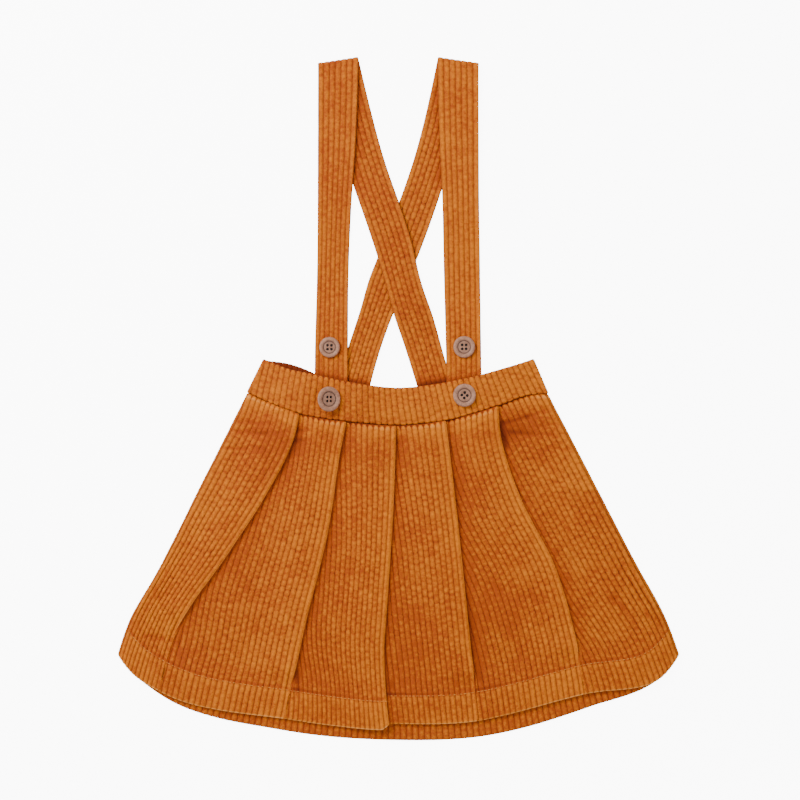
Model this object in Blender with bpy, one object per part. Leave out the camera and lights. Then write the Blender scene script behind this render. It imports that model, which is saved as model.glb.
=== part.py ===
"""Child's overall skirt in wide-wale corduroy, laid flat on its back with the straps spread out above it.

The skirt lies in the XY plane: +X to the right, +Y from the hem towards the shoulders, +Z up from the
surface it lies on. Sizes and tables are in millimetres; MM turns them into metres as each mesh is made.
Every cloth piece is a wall with a right side, where the wales of the corduroy stand up, and a plain
wrong side. Where a piece lies with its right side against the surface, that side is left flat.
"""

import math

import bmesh
import bpy
import numpy as np

MM = 0.001

# ------------------------------------------------------------------ driving dimensions

CLOTH = 1.6            # one layer of corduroy, without its wales
DOUBLE = 2.2           # two layers sewn as one, in the straps and waistbands
WALE_PITCH = 5.5
WALE_RISE = 0.6        # how far a wale stands above the cloth
STRAP_RISE = 0.5
INSIDE_RISE = 0.3      # the flattened wales on the inside of the back waistband
SEAM_GAP = 0.3         # between pieces at a seam
WAIST_GAP = 0.45       # the same, along the curved waist seam
SEAM_HEIGHT = 2.7      # the side seams run half way up the side
HEM = 0.905            # the hem is turned up below this share of the skirt's length
HEM_EDGE = 0.99        # from here on the hem rounds over to its folded edge

OUTER_BEND = 0.95      # radius of a pleat's visible fold, at the middle of the cloth
INNER_BEND = 1.25      # radius of the fold hidden under it
SHORTEST_TUCK = 1.5    # what is left of a pleat's middle layer where it starts to open
SIDE_BEND = 1.5        # radius of the cloth at the side seams
UPRIGHT = 0.4          # a side starts straight up from its seam for this much
SIDE_ROUND = 14.0      # the sides round down over this width
LEAST_HIDDEN = 2.5     # at least this much of a gore doesn't show
HIDDEN_SQUEEZE = 4.5   # wales that don't show may stand this many times as dense
WELT = 42.0            # width over which a gore climbs onto its own pleat
BAND_BEND = 1.6
STEP_REACH = 80.0      # how far from a pleat its step in the hem dies out

WALE_SHAPE = ((0.5, 0.0), (1.0, 1.0))    # share of the pitch, share of the rise: groove, then crest

# Lines of the spread-out front, each from the waist seam to the hem: (x, y) points.
SIDE_LEFT = ((-136, 4), (-178, -79), (-219, -160), (-241.7, -200), (-252.5, -231))
CORNER_LEFT = ((-117, -4.5), (-160, -84), (-204, -166), (-237, -249.5))
FOLD_1 = ((-88.7, -15), (-92.5, -33), (-119, -88), (-154, -142), (-196, -205), (-214, -264))
FOLD_2 = ((-46.4, -22), (-51, -44), (-62.6, -118), (-85, -211), (-101, -288.6))
FOLD_3 = ((-2, -25.5), (-4, -90), (-9.5, -179), (-12.5, -226), (-7.7, -298))
FOLD_4 = ((42.6, -21), (52, -98), (60.5, -179), (72.5, -290))
FOLD_5 = ((89.6, -7.7), (91, -28), (110, -90.5), (139.5, -149), (158, -210), (168, -266))
CORNER_RIGHT = ((118, 1.8), (157, -75), (200, -160), (237, -250.5))
SIDE_RIGHT = ((134.6, 3), (170, -65), (212, -146), (241, -200), (252.5, -231))

# line, how much further the back's hem reaches along it
SKIRT_LINES = (
    (SIDE_LEFT, 0.0),
    (CORNER_LEFT, 0.0),
    (FOLD_1, 3.0),
    (FOLD_2, 11.0),
    (FOLD_3, 10.0),
    (FOLD_4, 15.0),
    (FOLD_5, 13.0),
    (CORNER_RIGHT, 0.0),
    (SIDE_RIGHT, 0.0),
)
BACK_SEAM_UP = 1.2     # how much further up the back's waist seam lies
PLEAT_STOPS = (2, 3, 4, 5, 6)     # the pleats' places among the lines

# tuck at the waist, share of the length it stays shut to, share where it has opened,
# angle left in it there (degrees), step that it makes in the hem
PLEATS = (
    (14.0, 0.68, 0.835, 8.0, 0.0),
    (20.0, 0.785, 0.91, 8.0, 0.0),
    (18.0, 0.91, 1.0, 105.0, 5.0),
    (20.0, 0.785, 0.91, 8.0, 0.0),
    (18.0, 0.785, 0.91, 8.0, 0.0),
)

FRONT_ROWS = (0.0, 0.05, 0.2, 0.37, 0.54, 0.68, 0.735, 0.785, 0.835, 0.885, 0.91, HEM_EDGE, 1.0)

# share of the length, height of the front cloth's middle surface along the centre and at the sides,
# how far the pleats press it down
FRONT_LEVELS = (
    (0.00, 6.6, 5.0, 0.9),
    (0.05, 6.5, 5.1, 0.9),
    (0.20, 3.8, 5.2, 0.2),
    (0.54, 3.2, 5.5, 0.0),
    (0.835, 3.8, 5.5, 0.0),
    (0.885, 5.6, 6.0, 0.0),
    (0.91, 6.7, 6.8, 0.0),
    (1.00, 6.7, 6.8, 0.0),
)
PRESSED = 8.0                     # width over which the cloth comes back up right of a pleat
SIDE_BLEND = (18.0, 50.0)         # the sides' level passes into the centre's over this stretch

# distance in from the side, height of the front waistband's middle surface
BAND_LEVELS = ((2.0, 4.4), (18.0, 6.6), (34.0, 8.6), (48.0, 9.95), (96.0, 9.95), (118.0, 7.4), (128.0, 7.2))
BAND_WALES = 46
BAND_DROP = 1.4        # the band's lower half sinks to the skirt by this much
BAND_DROP_FROM = (18.0, 48.0)     # distance in from the side over which that sets in

# Edges of the straps' legs from the tail to the shoulder fold: (x, y) points.
LEFT_FRONT_INNER = ((-45.5, -12), (-45.3, 29), (-44.6, 120), (-41.8, 180), (-39.0, 218), (-35.8, 304))
LEFT_FRONT_OUTER = ((-75.5, -12), (-75.2, 29), (-73.2, 120), (-72.6, 180), (-72.5, 218), (-72.3, 304))
LEFT_BACK_INNER = ((54, -8), (42, 33.8), (31, 72.9), (21.2, 101.3), (11.3, 141.8), (-14, 218.3),
                   (-35.8, 304))
LEFT_BACK_OUTER = ((22, -8), (5.9, 44.6), (-4.1, 74.3), (-10.4, 98.1), (-23.9, 141.8), (-43, 198),
                   (-72.3, 298))
RIGHT_FRONT_INNER = ((43.2, -12), (42.7, 29), (40.6, 120), (39.2, 180), (37.4, 218), (35.0, 304))
RIGHT_FRONT_OUTER = ((75, -12), (74.4, 29), (73.4, 120), (72.4, 180), (72.2, 218), (72.0, 304))
RIGHT_BACK_INNER = ((-60.5, -8), (-44.6, 47.3), (-34.7, 77.9), (-26.1, 107.6), (-19.4, 124.7),
                    (14.9, 218.3), (35.0, 304))
RIGHT_BACK_OUTER = ((-30, -8), (-14, 50), (-5, 74.3), (5.5, 98), (17.6, 127), (42, 196), (72.0, 298))

STRAP_ROLL = 1.6                  # radius of the shoulder fold, at the middle of the strap
STRAP_LOW = 1.1                   # middle of a strap that lies on the surface
STRAP_HIGH = STRAP_LOW + 2 * STRAP_ROLL
STRAP_WALES = 6
ROLL_SECTIONS = 6

# y along the strap, height of its middle surface, how much higher up the inner edge is cut there
FRONT_LEG = (
    (-12, 5.2, 0),
    (0, 6.95, 0),
    (24, 6.95, 0),
    (34, 6.5, 0),
    (56, 5.6, 0),
    (84, 1.7, 0),
    (96, STRAP_LOW, 0),
    (134, STRAP_LOW, 0),
    (178, STRAP_HIGH, 1.5),
    (240, STRAP_HIGH, 2),
    (300.75, STRAP_HIGH, 2.75),
)
# The left strap's back leg lies over the right one where they cross.
OVER_LEG = (
    (0, 3.9, 3),
    (20, 3.9, 4.5),
    (30, 3.2, 4.5),
    (52, 2.4, 4.5),
    (76, 4.2, 4.5),
    (126, 4.3, 4.5),
    (176, 4.2, 4.5),
    (200, STRAP_LOW, 4.5),
    (250, STRAP_LOW, 3.6),
    (300.75, STRAP_LOW, 2.75),
)
UNDER_LEG = (
    (0, 3.9, 3),
    (20, 3.9, 4.5),
    (30, 2.8, 4.5),
    (52, STRAP_LOW, 4.5),
    (98, STRAP_LOW, 4.5),
    (126, STRAP_LOW, 4.5),
    (176, STRAP_LOW, 4.5),
    (236, STRAP_LOW, 3.6),
    (300.75, STRAP_LOW, 2.75),
)

BUTTON_THICK = 3.0
BUTTON_HOLE = 1.7
BUTTON_HOLE_SPACING = 3.5

# name, x, y, height of the seat, diameter, turn and tilt in degrees
BUTTONS = (
    ("button_strap_left", -61.8, 45.0, 8.4, 18.5, 0, 0),
    ("button_strap_right", 58.8, 45.3, 8.4, 19.5, 0, 0),
    ("button_waist_left", -62.7, -1.4, 12.0, 22.0, 0, 14),
    ("button_waist_right", 59.0, 2.0, 12.0, 20.5, 40, 0),
)

# colour, roughness
CORDUROY_FRONT = ((0.50, 0.17, 0.022), 0.85)
CORDUROY_BAND = ((0.53, 0.20, 0.028), 0.85)
CORDUROY_BACK = ((0.38, 0.11, 0.014), 0.88)
CORDUROY_STRAP = ((0.48, 0.16, 0.022), 0.85)
BUTTON_FINISH = ((0.40, 0.26, 0.20), 0.45)


# ------------------------------------------------------------------ curves

def blend(share):
    """Passes smoothly from 0 to 1."""
    share = min(max(share, 0.0), 1.0)
    return share * share * (3 - 2 * share)


def smooth(points, samples):
    """Samples a smooth curve through the points, the same number for each stretch."""
    points = np.array(points, float)
    spans = np.linalg.norm(np.diff(points, axis=0), axis=1)[:, None]
    slopes = np.diff(points, axis=0) / spans
    inner = (slopes[:-1] * spans[1:] + slopes[1:] * spans[:-1]) / (spans[:-1] + spans[1:])
    first = 1.5 * slopes[0] - 0.5 * inner[0]
    last = 1.5 * slopes[-1] - 0.5 * inner[-1]
    tangents = np.vstack([first, inner, last])
    result = []
    for i, span in enumerate(spans):
        for share in np.arange(samples) / samples:
            rise = share * share * (3 - 2 * share)
            leave = share * (1 - share) ** 2 * span * tangents[i]
            arrive = share * share * (share - 1) * span * tangents[i + 1]
            result.append(points[i] + rise * (points[i + 1] - points[i]) + leave + arrive)
    return np.array(result + [points[-1]])


class Path:
    """A curve that is read by the distance along it. It carries on straight past its ends."""

    def __init__(self, points, samples=1):
        self.points = smooth(points, samples) if samples > 1 else np.array(points, float)
        steps = np.linalg.norm(np.diff(self.points, axis=0), axis=1)
        self.reach = np.concatenate(([0.0], np.cumsum(steps)))
        self.stops = self.reach[::samples]
        self.length = self.reach[-1]

    def at(self, distance):
        index = int(np.clip(np.searchsorted(self.reach, distance) - 1, 0, len(self.reach) - 2))
        share = (distance - self.reach[index]) / (self.reach[index + 1] - self.reach[index])
        return self.points[index] + share * (self.points[index + 1] - self.points[index])

    def normal(self, distance):
        """The direction square to the curve, on its left."""
        ahead = self.at(distance + 0.2) - self.at(distance - 0.2)
        ahead = ahead / np.linalg.norm(ahead)
        return np.array([-ahead[1], ahead[0]])


def column(table, place, wanted=1):
    """Reads a table whose first column is the place."""
    return float(np.interp(place, [row[0] for row in table], [row[wanted] for row in table]))


def quarter_bend(inset, height, radius, upwards, count=4):
    """A quarter turn from upright to level: distances in from the side, and heights."""
    angles = [math.pi / 2 * i / count for i in range(count + 1)]
    return [(inset + radius * (1 - math.cos(a)), height + upwards * radius * math.sin(a)) for a in angles]


# ------------------------------------------------------------------ walls

def zip_rows(mesh, lower, upper):
    """Fills the strip between two rows of (mark, vertex), which may differ in number."""
    i = 0
    j = 0
    while i < len(lower) - 1 or j < len(upper) - 1:
        next_lower = lower[i + 1][0] if i < len(lower) - 1 else math.inf
        next_upper = upper[j + 1][0] if j < len(upper) - 1 else math.inf
        if next_lower <= next_upper:
            mesh.faces.new((lower[i][1], lower[i + 1][1], upper[j][1]))
            i += 1
        else:
            mesh.faces.new((lower[i][1], upper[j + 1][1], upper[j][1]))
            j += 1


def material(name, finish):
    colour, roughness = finish
    made = bpy.data.materials.new(name)
    made.use_nodes = True
    shader = made.node_tree.nodes["Principled BSDF"]
    shader.inputs["Base Color"].default_value = (*colour, 1.0)
    shader.inputs["Roughness"].default_value = roughness
    shader.inputs["Metallic"].default_value = 0.0
    return made


def place_object(name, mesh, finish):
    """Turns a bmesh, in millimetres, into an object under the garment's empty."""
    bmesh.ops.recalc_face_normals(mesh, faces=mesh.faces)
    if mesh.calc_volume(signed=True) < 0:
        bmesh.ops.reverse_faces(mesh, faces=mesh.faces)
    bmesh.ops.scale(mesh, vec=(MM, MM, MM), verts=mesh.verts)
    data = bpy.data.meshes.new(name)
    mesh.to_mesh(data)
    mesh.free()
    data.materials.append(material(name, finish))
    piece = bpy.data.objects.new(name, data)
    bpy.context.scene.collection.objects.link(piece)
    piece.parent = garment
    return piece


def make_wall(name, sections, finish):
    """Closes a wall from its sections, each a pair of rows of (mark, point): right side, wrong side."""
    mesh = bmesh.new()
    rights = []
    wrongs = []
    for right, wrong in sections:
        rights.append([(mark, mesh.verts.new(point)) for mark, point in right])
        wrongs.append([(mark, mesh.verts.new(point)) for mark, point in wrong])
    for here, after in zip(rights, rights[1:]):
        zip_rows(mesh, here, after)
    for here, after in zip(wrongs, wrongs[1:]):
        zip_rows(mesh, after, here)
    zip_rows(mesh, wrongs[0], rights[0])
    zip_rows(mesh, rights[-1], wrongs[-1])
    for end in (0, -1):
        for i in range(len(rights) - 1):
            ring = (rights[i][end][1], rights[i + 1][end][1], wrongs[i + 1][end][1], wrongs[i][end][1])
            mesh.faces.new(ring[:3])
            mesh.faces.new((ring[0], ring[2], ring[3]))
    return place_object(name, mesh, finish)


def wale_marks(width, edge_marks=()):
    """Distances from a crest at 0 to the width, one for each groove and crest, with their share of rise."""
    marks = {0.0: 1.0}
    for wale in range(math.ceil(width / WALE_PITCH)):
        for share, rise in WALE_SHAPE:
            mark = (wale + share) * WALE_PITCH
            if mark < width - 1.0:
                marks[mark] = rise
    for mark in edge_marks:
        marks[mark] = 1.0
    marks[width] = 1.0
    return sorted(marks.items())


def plain_marks(width, spacing, edge_marks=()):
    count = max(2, round(width / spacing))
    marks = {width * i / count for i in range(count + 1)} | set(edge_marks)
    return [(mark, 0.0) for mark in sorted(marks)]


# ------------------------------------------------------------------ front skirt panel

def pleat_shape(pleat, share):
    """The angle that a pleat turns through at this share of the length, and its middle layer's width."""
    tuck, shut_to, open_from, last_turn, _ = pleat
    if share <= shut_to:
        return math.pi, SHORTEST_TUCK + (tuck - SHORTEST_TUCK) * (1 - share / shut_to)
    opened = blend((share - shut_to) / (open_from - shut_to))
    return math.pi - opened * (math.pi - math.radians(last_turn)), SHORTEST_TUCK * (1 - 0.4 * opened)


def pleat_height(turn, middle):
    return (OUTER_BEND + INNER_BEND) * (1 - math.cos(turn)) + middle * math.sin(turn)


def bend_at_side(level, count=4):
    """Distances in from the side and heights, from the side seam up round the bend."""
    seam = SEAM_HEIGHT + SEAM_GAP / 2
    start = seam + UPRIGHT
    slope = 2 * max(level - start - SIDE_BEND, 0.2) / SIDE_ROUND
    sweep = math.pi / 2 - math.atan(slope)
    result = [(0.0, seam)]
    for i in range(count + 1):
        angle = sweep * i / count
        result.append((SIDE_BEND * (1 - math.cos(angle)), start + SIDE_BEND * math.sin(angle)))
    return result


GORE_MARK = 1000.0     # sets the marks of one gore apart from the next one's


class FrontRow:
    """One cut across the front panel, at a share of its length from the waist seam to the hem."""

    edge_inset = CLOTH / 2 + WALE_RISE

    def __init__(self, share):
        self.share = share
        stops = [line.at(share * line.length) for line in front_lines]
        self.plan = Path(stops, 12)
        self.folds = [self.plan.stops[i] for i in PLEAT_STOPS]
        self.shapes = [pleat_shape(pleat, share) for pleat in PLEATS]
        self.dip = column(FRONT_LEVELS, share, 3)
        self.gores = [self.gore(k) for k in range(len(PLEATS) + 1)]

    def base(self, along):
        """Height of the cloth's middle surface where no pleat lifts it."""
        side = min(along, self.plan.length - along)
        towards_middle = blend((side - SIDE_BLEND[0]) / (SIDE_BLEND[1] - SIDE_BLEND[0]))
        middle = column(FRONT_LEVELS, self.share, 1)
        sides = column(FRONT_LEVELS, self.share, 2)
        return sides + (middle - sides) * towards_middle

    def fold_start(self, k):
        return self.folds[k] - self.edge_inset - OUTER_BEND

    def fold_end(self, k):
        turn, middle = self.shapes[k]
        return self.fold_start(k) + (OUTER_BEND + INNER_BEND) * math.sin(turn) + middle * math.cos(turn)

    def level(self, k, along):
        height = self.base(along)
        if k > 0:
            height -= self.dip * (1 - blend((along - self.folds[k - 1]) / PRESSED))
        if k < len(PLEATS):
            turn, middle = self.shapes[k]
            welt_end = self.fold_start(k) - max(-middle * math.cos(turn), 0) - 3
            free_from = self.folds[k - 1] + 2 if k else SIDE_ROUND
            welt_start = max(welt_end - WELT, free_from)
            climb = pleat_height(turn, middle) - self.dip
            height += climb * blend((along - welt_start) / (welt_end - welt_start))
        side = min(along, self.plan.length - along) - self.edge_inset
        if side < SIDE_ROUND:
            edge = SEAM_HEIGHT + SEAM_GAP / 2 + UPRIGHT + SIDE_BEND
            share = max(side - SIDE_BEND, 0) / (SIDE_ROUND - SIDE_BEND)
            height = edge + (height - edge) * (1 - (1 - share) ** 2)
        return height

    def gore(self, k):
        """The path of one gore's middle surface, from left to right: distance along, height."""
        left_side = self.edge_inset
        right_side = self.plan.length - self.edge_inset
        first = k == 0
        last = k == len(PLEATS)
        start = left_side + SIDE_BEND if first else self.fold_end(k - 1)
        end = right_side - SIDE_BEND if last else self.fold_start(k)
        places = np.linspace(start, end, max(8, round((end - start) / 1.5)))
        points = [(along, self.level(k, along)) for along in places]
        if first:
            bend = bend_at_side(self.level(k, left_side + SIDE_ROUND))
            points = [(left_side + x, z) for x, z in bend[:-1]] + points[1:]
        if last:
            bend = bend_at_side(self.level(k, right_side - SIDE_ROUND))
            points = points[:-1] + [(right_side - x, z) for x, z in reversed(bend[:-1])]
        return Path(points)

    def from_right_end(self, k, mark):
        """Where a mark of the flat gore lies on its path. What is too wide is squeezed in out of sight."""
        length = self.gores[k].length
        tucked = self.folds[k - 1] - self.fold_end(k - 1) if k else 0.0
        hidden = max(tucked, LEAST_HIDDEN)
        shown = length - hidden
        width = gore_widths[k]
        drawn_in = max(0.0, width - shown - max(HIDDEN_SQUEEZE * tucked, hidden))
        if mark <= shown + drawn_in:
            return mark * shown / (shown + drawn_in)
        return length - (width - mark) * hidden / (width - shown - drawn_in)

    def hem_lift(self, k, along):
        """The step in the hem just right of a pleat that stays partly shut there."""
        if k == 0:
            return 0.0
        step = PLEATS[k - 1][4] * blend((self.share - 0.6) / 0.4)
        return step * (1 - blend((along - self.folds[k - 1]) / STEP_REACH))

    def inner_reach(self, along):
        """From the middle surface to the wrong side: thicker where the hem is turned up."""
        side = min(along, self.plan.length - along) - self.edge_inset
        turned_up = blend((self.share - HEM + 0.02) / 0.02) * blend((side - 4) / 6)
        return CLOTH / 2 + CLOTH * turned_up

    def point(self, k, along, height, normal, rise):
        """A point on the right side, where rise is the wale's height there, or on the wrong side if None."""
        if rise is None:
            offset = -self.inner_reach(along)
        else:
            offset = CLOTH / 2 + rise * WALE_RISE
        if self.share == 1.0:
            offset *= 0.4
        x, y = self.plan.at(along + normal[0] * offset)
        return (x, y + self.hem_lift(k, along), height + normal[1] * offset)

    def gore_row(self, k, marks, right_side):
        path = self.gores[k]
        row = []
        for mark, rise in reversed(marks):
            distance = path.length - self.from_right_end(k, mark)
            along, height = path.at(distance)
            place = self.point(k, along, height, path.normal(distance), rise if right_side else None)
            row.append((GORE_MARK * k + gore_widths[k] - mark, place))
        return row

    def fold_row(self, k, parts, right_side):
        """The fold from gore k down to gore k + 1, without the gores' own ends."""
        turn, _ = self.shapes[k]
        top = self.gores[k].points[-1]
        low = self.gores[k + 1].points[0]
        row = []
        for i in range(1, parts + 1):
            angle = turn * i / parts
            place = top + OUTER_BEND * np.array([math.sin(angle), math.cos(angle) - 1])
            rise = 1 - i / parts if right_side else None
            normal = (math.sin(angle), math.cos(angle))
            row.append((k, *place, normal, rise))
        for i in range(parts, 0, -1):
            angle = turn * i / parts
            place = low + INNER_BEND * np.array([-math.sin(angle), 1 - math.cos(angle)])
            normal = (math.sin(angle), math.cos(angle))
            row.append((k + 1, *place, normal, 0.0 if right_side else None))
        first_mark = GORE_MARK * k + gore_widths[k]
        return [(first_mark + i + 1, self.point(*station)) for i, station in enumerate(row)]

    def section(self):
        rows = []
        for right_side in (True, False):
            row = []
            for k, width in enumerate(gore_widths):
                bend = []
                if k == 0:
                    bend = [width - 0.8, width - 1.6, width - 2.4]
                if k == len(PLEATS):
                    bend = [0.8, 1.6, 2.4]
                marks = wale_marks(width, bend) if right_side else plain_marks(width, 16.0, bend)
                row += self.gore_row(k, marks, right_side)
                if k < len(PLEATS):
                    row += self.fold_row(k, 4 if right_side else 2, right_side)
            rows.append(row)
        return rows


# ------------------------------------------------------------------ back skirt panel

class BackRow:
    """One cut across the back panel: flat on the surface, turned up at both side seams."""

    def __init__(self, share):
        stops = [line.at(share * line.length) for line in back_lines]
        self.plan = Path(stops, 12)
        inset = CLOTH / 2 + WALE_RISE
        seam = SEAM_HEIGHT - SEAM_GAP / 2
        radius = seam - UPRIGHT - CLOTH / 2
        rim = [(inset, seam)] + quarter_bend(inset, seam - UPRIGHT, radius, -1)
        far = [(self.plan.length - along, height) for along, height in reversed(rim)]
        self.path = Path(rim + far)
        self.rim = Path(rim).length

    def row(self, marks, offset, rise):
        result = []
        for share, crest in marks:
            distance = self.rim_place(share)
            along, height = self.path.at(distance)
            normal = self.path.normal(distance)
            reach = offset + crest * rise * abs(normal[1])
            x, y = self.plan.at(along + normal[0] * reach)
            result.append((share, (x, y, height + normal[1] * reach)))
        return result

    def rim_place(self, share):
        """Shares below 0 and above 1 count the bend's quarters."""
        if share < 0:
            return self.rim * (1 + share)
        if share > 1:
            return self.path.length - self.rim * (2 - share)
        return self.rim + share * (self.path.length - 2 * self.rim)


def back_sections():
    """The right side lies down, flat. The turned-up hem shows its wales on the upper face."""
    bend = [-1.0, -0.75, -0.5, -0.25]
    far_bend = [1.25, 1.5, 1.75, 2.0]
    plain = [(share, 0.0) for share in bend + [i / 24 for i in range(25)] + far_bend]
    wales = round(BackRow(1.0).path.length / WALE_PITCH)
    ribbed = [(share, 0.0) for share in bend]
    for i in range(2 * wales + 1):
        ribbed.append((i / (2 * wales), float(i % 2)))
    ribbed += [(share, 0.0) for share in far_bend]
    # share of the length, marks of the upper face, its height over the middle surface
    rows = (
        (0.0, plain, CLOTH / 2),
        (0.45, plain, CLOTH / 2),
        (HEM - 0.012, plain, CLOTH / 2),
        (HEM, ribbed, 1.5 * CLOTH),
        (HEM_EDGE, ribbed, 1.5 * CLOTH),
        (1.0, ribbed, CLOTH),
    )
    sections = []
    for share, marks, height in rows:
        row = BackRow(share)
        under = row.row(plain, -CLOTH / 2, 0.0)
        over = row.row(marks, CLOTH / 2, WALE_RISE)
        if height > CLOTH / 2:
            over = [(mark, thicken(row, mark, point, height)) for mark, point in over]
        sections.append((under, over))
    return sections


def thicken(row, mark, point, height):
    """Raises a point of the turned-up hem, fading out towards the side bends."""
    inwards = min(mark, 1 - mark) * row.path.length
    x, y, z = point
    return (x, y, z + (height - CLOTH / 2) * blend((inwards - 3) / 8))


# ------------------------------------------------------------------ waistbands

def band_section(share, lower, upper, levels, marks_right, marks_wrong, rises, side_up):
    """One cut along a waistband, at a share of its height from the seam to the folded top edge."""
    count = 60
    along = [lower.at(lower.length * i / count) for i in range(count + 1)]
    above = [upper.at(upper.length * i / count) for i in range(count + 1)]
    plan = Path([a + share * (b - a) for a, b in zip(along, above)])
    inset = DOUBLE / 2
    seam = SEAM_HEIGHT + side_up * SEAM_GAP / 2
    first_level = column(levels, 2.0)
    radius = BAND_BEND if side_up > 0 else seam - UPRIGHT - first_level
    rim = [(inset, seam)] + quarter_bend(inset, seam + side_up * UPRIGHT, radius, side_up)
    sink = BAND_DROP * (1 - blend(share / 0.5)) if side_up > 0 else 0.0
    middle = []
    for place in np.linspace(inset + radius + 2, plan.length - inset - radius - 2, 80):
        side = min(place, plan.length - place)
        drop = sink * blend((side - BAND_DROP_FROM[0]) / (BAND_DROP_FROM[1] - BAND_DROP_FROM[0]))
        middle.append((place, column(levels, side) - drop))
    far = [(plan.length - place, height) for place, height in reversed(rim)]
    path = Path(rim + middle + far)
    edge = 0.35 if share in (0.0, 1.0) else 1.0
    rows = []
    for marks, rise, sign in ((marks_right, rises[0], 1), (marks_wrong, rises[1], -1)):
        row = []
        for mark, crest in marks:
            distance = mark * path.length
            place, height = path.at(distance)
            normal = path.normal(distance) * side_up
            reach = sign * (DOUBLE / 2 * edge + crest * rise * edge)
            x, y = plan.at(place + normal[0] * reach)
            scallop = crest * rise * 0.7 if share == 1.0 else 0.0
            row.append((mark, (x, y + scallop, height + normal[1] * reach)))
        rows.append(row)
    return rows


def band_marks(ribbed):
    bend = [0.0, 0.004, 0.008, 0.012]
    marks = [(mark, 0.0) for mark in bend]
    count = 2 * BAND_WALES if ribbed else 24
    for i in range(1, count):
        marks.append((i / count, float(i % 2) if ribbed else 0.0))
    marks += [(1 - mark, 0.0) for mark in reversed(bend)]
    return sorted(marks)


def front_top_edge(x):
    return 8.9 + 26.0 * abs(x / 121.0) ** 1.6


def back_top_edge(x):
    """Just under the front's edge, but for a sliver that stands above it on the left."""
    sliver = 3.6 * max(0.0, math.cos((x + 94) / 26 * math.pi / 2)) if abs(x + 94) < 26 else 0.0
    return front_top_edge(x) - 1.2 + sliver


def make_waistbands():
    front_seam = Path([line.at(0.0) + (0, WAIST_GAP) for line in front_lines], 12)
    back_seam = Path([line.at(0.0) + (0, WAIST_GAP) for line in back_lines], 12)
    shares = (0.0, 0.05, 0.5, 0.94, 1.0)
    top_x = [-121 + 242 * i / 40 for i in range(41)]
    front_top = Path([(x, front_top_edge(x)) for x in top_x])
    back_top = Path([(x, back_top_edge(x)) for x in top_x])
    front = [band_section(share, front_seam, front_top, BAND_LEVELS, band_marks(True), band_marks(False),
                          (WALE_RISE, 0.0), 1) for share in shares]
    make_wall("front_waistband", front, CORDUROY_BAND)
    flat = ((2.0, DOUBLE / 2), (128.0, DOUBLE / 2))
    back = [band_section(share, back_seam, back_top, flat, band_marks(False), band_marks(True),
                         (0.0, INSIDE_RISE), -1) for share in shares]
    make_wall("back_waistband", back, CORDUROY_BACK)


# ------------------------------------------------------------------ shoulder straps

def strap_marks():
    """Distances across a strap as shares, with the rise and thickness there: the edges are folded."""
    marks = [(0.0, 0.0, 0.35), (0.03, 0.6, 0.9)]
    count = 2 * STRAP_WALES
    for i in range(1, count):
        marks.append((i / count, float(i % 2), 1.0))
    marks += [(0.97, 0.6, 0.9), (1.0, 0.0, 0.35)]
    return marks


def strap_cut(inner, outer, height, turn, ribs):
    """One cut across a strap. turn is 0 where its right side is up and 180 degrees where it is down."""
    across = np.array(outer) - np.array(inner)
    width = np.linalg.norm(across)
    up = np.array([across[1], -across[0]]) / width
    if up[1] < 0:
        up = -up
    lean = np.array([up[0] * math.sin(turn), up[1] * math.sin(turn), math.cos(turn)])
    rows = []
    for rise, sign in ((ribs[0], 1), (ribs[1], -1)):
        row = []
        for share, crest, thickness in strap_marks():
            foot = np.array([*(np.array(inner) + share * across), height])
            reach = sign * (DOUBLE / 2 * thickness + crest * rise)
            row.append((share, tuple(foot + lean * reach)))
        rows.append(row)
    return rows


def leg_edges(inner, outer, leg):
    """The two edge points and the height of each cut along a leg."""
    inner = smooth(inner, 8)
    outer = smooth(outer, 8)
    cuts = []
    for y, height, slant in leg:
        inner_x = np.interp(y + slant, inner[:, 1], inner[:, 0])
        outer_x = np.interp(y - slant, outer[:, 1], outer[:, 0])
        cuts.append(((inner_x, y + slant), (outer_x, y - slant), height))
    return cuts


def make_strap(name, front_edges, back_edges, back_leg):
    """From the tail under the front waistband, over the shoulder, to the tail on the back waistband."""
    front = leg_edges(*front_edges, FRONT_LEG)
    back = leg_edges(*back_edges, back_leg)
    sections = [strap_cut(*cut, 0.0, (STRAP_RISE, 0.0)) for cut in front]
    top_inner, top_outer, _ = front[-1]
    across = np.array(top_outer) - np.array(top_inner)
    up = np.array([across[1], -across[0]]) / np.linalg.norm(across)
    if up[1] < 0:
        up = -up
    for i in range(1, ROLL_SECTIONS + 1):
        angle = math.pi * i / ROLL_SECTIONS
        shift = up * STRAP_ROLL * math.sin(angle)
        height = STRAP_LOW + STRAP_ROLL * (1 + math.cos(angle))
        rise = STRAP_RISE * (1 - i / ROLL_SECTIONS)
        sections.append(strap_cut(top_inner + shift, top_outer + shift, height, angle, (rise, 0.0)))
    sections += [strap_cut(*cut, math.pi, (0.0, STRAP_RISE)) for cut in reversed(back[:-1])]
    return make_wall(name, sections, CORDUROY_STRAP)


# ------------------------------------------------------------------ buttons

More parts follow.
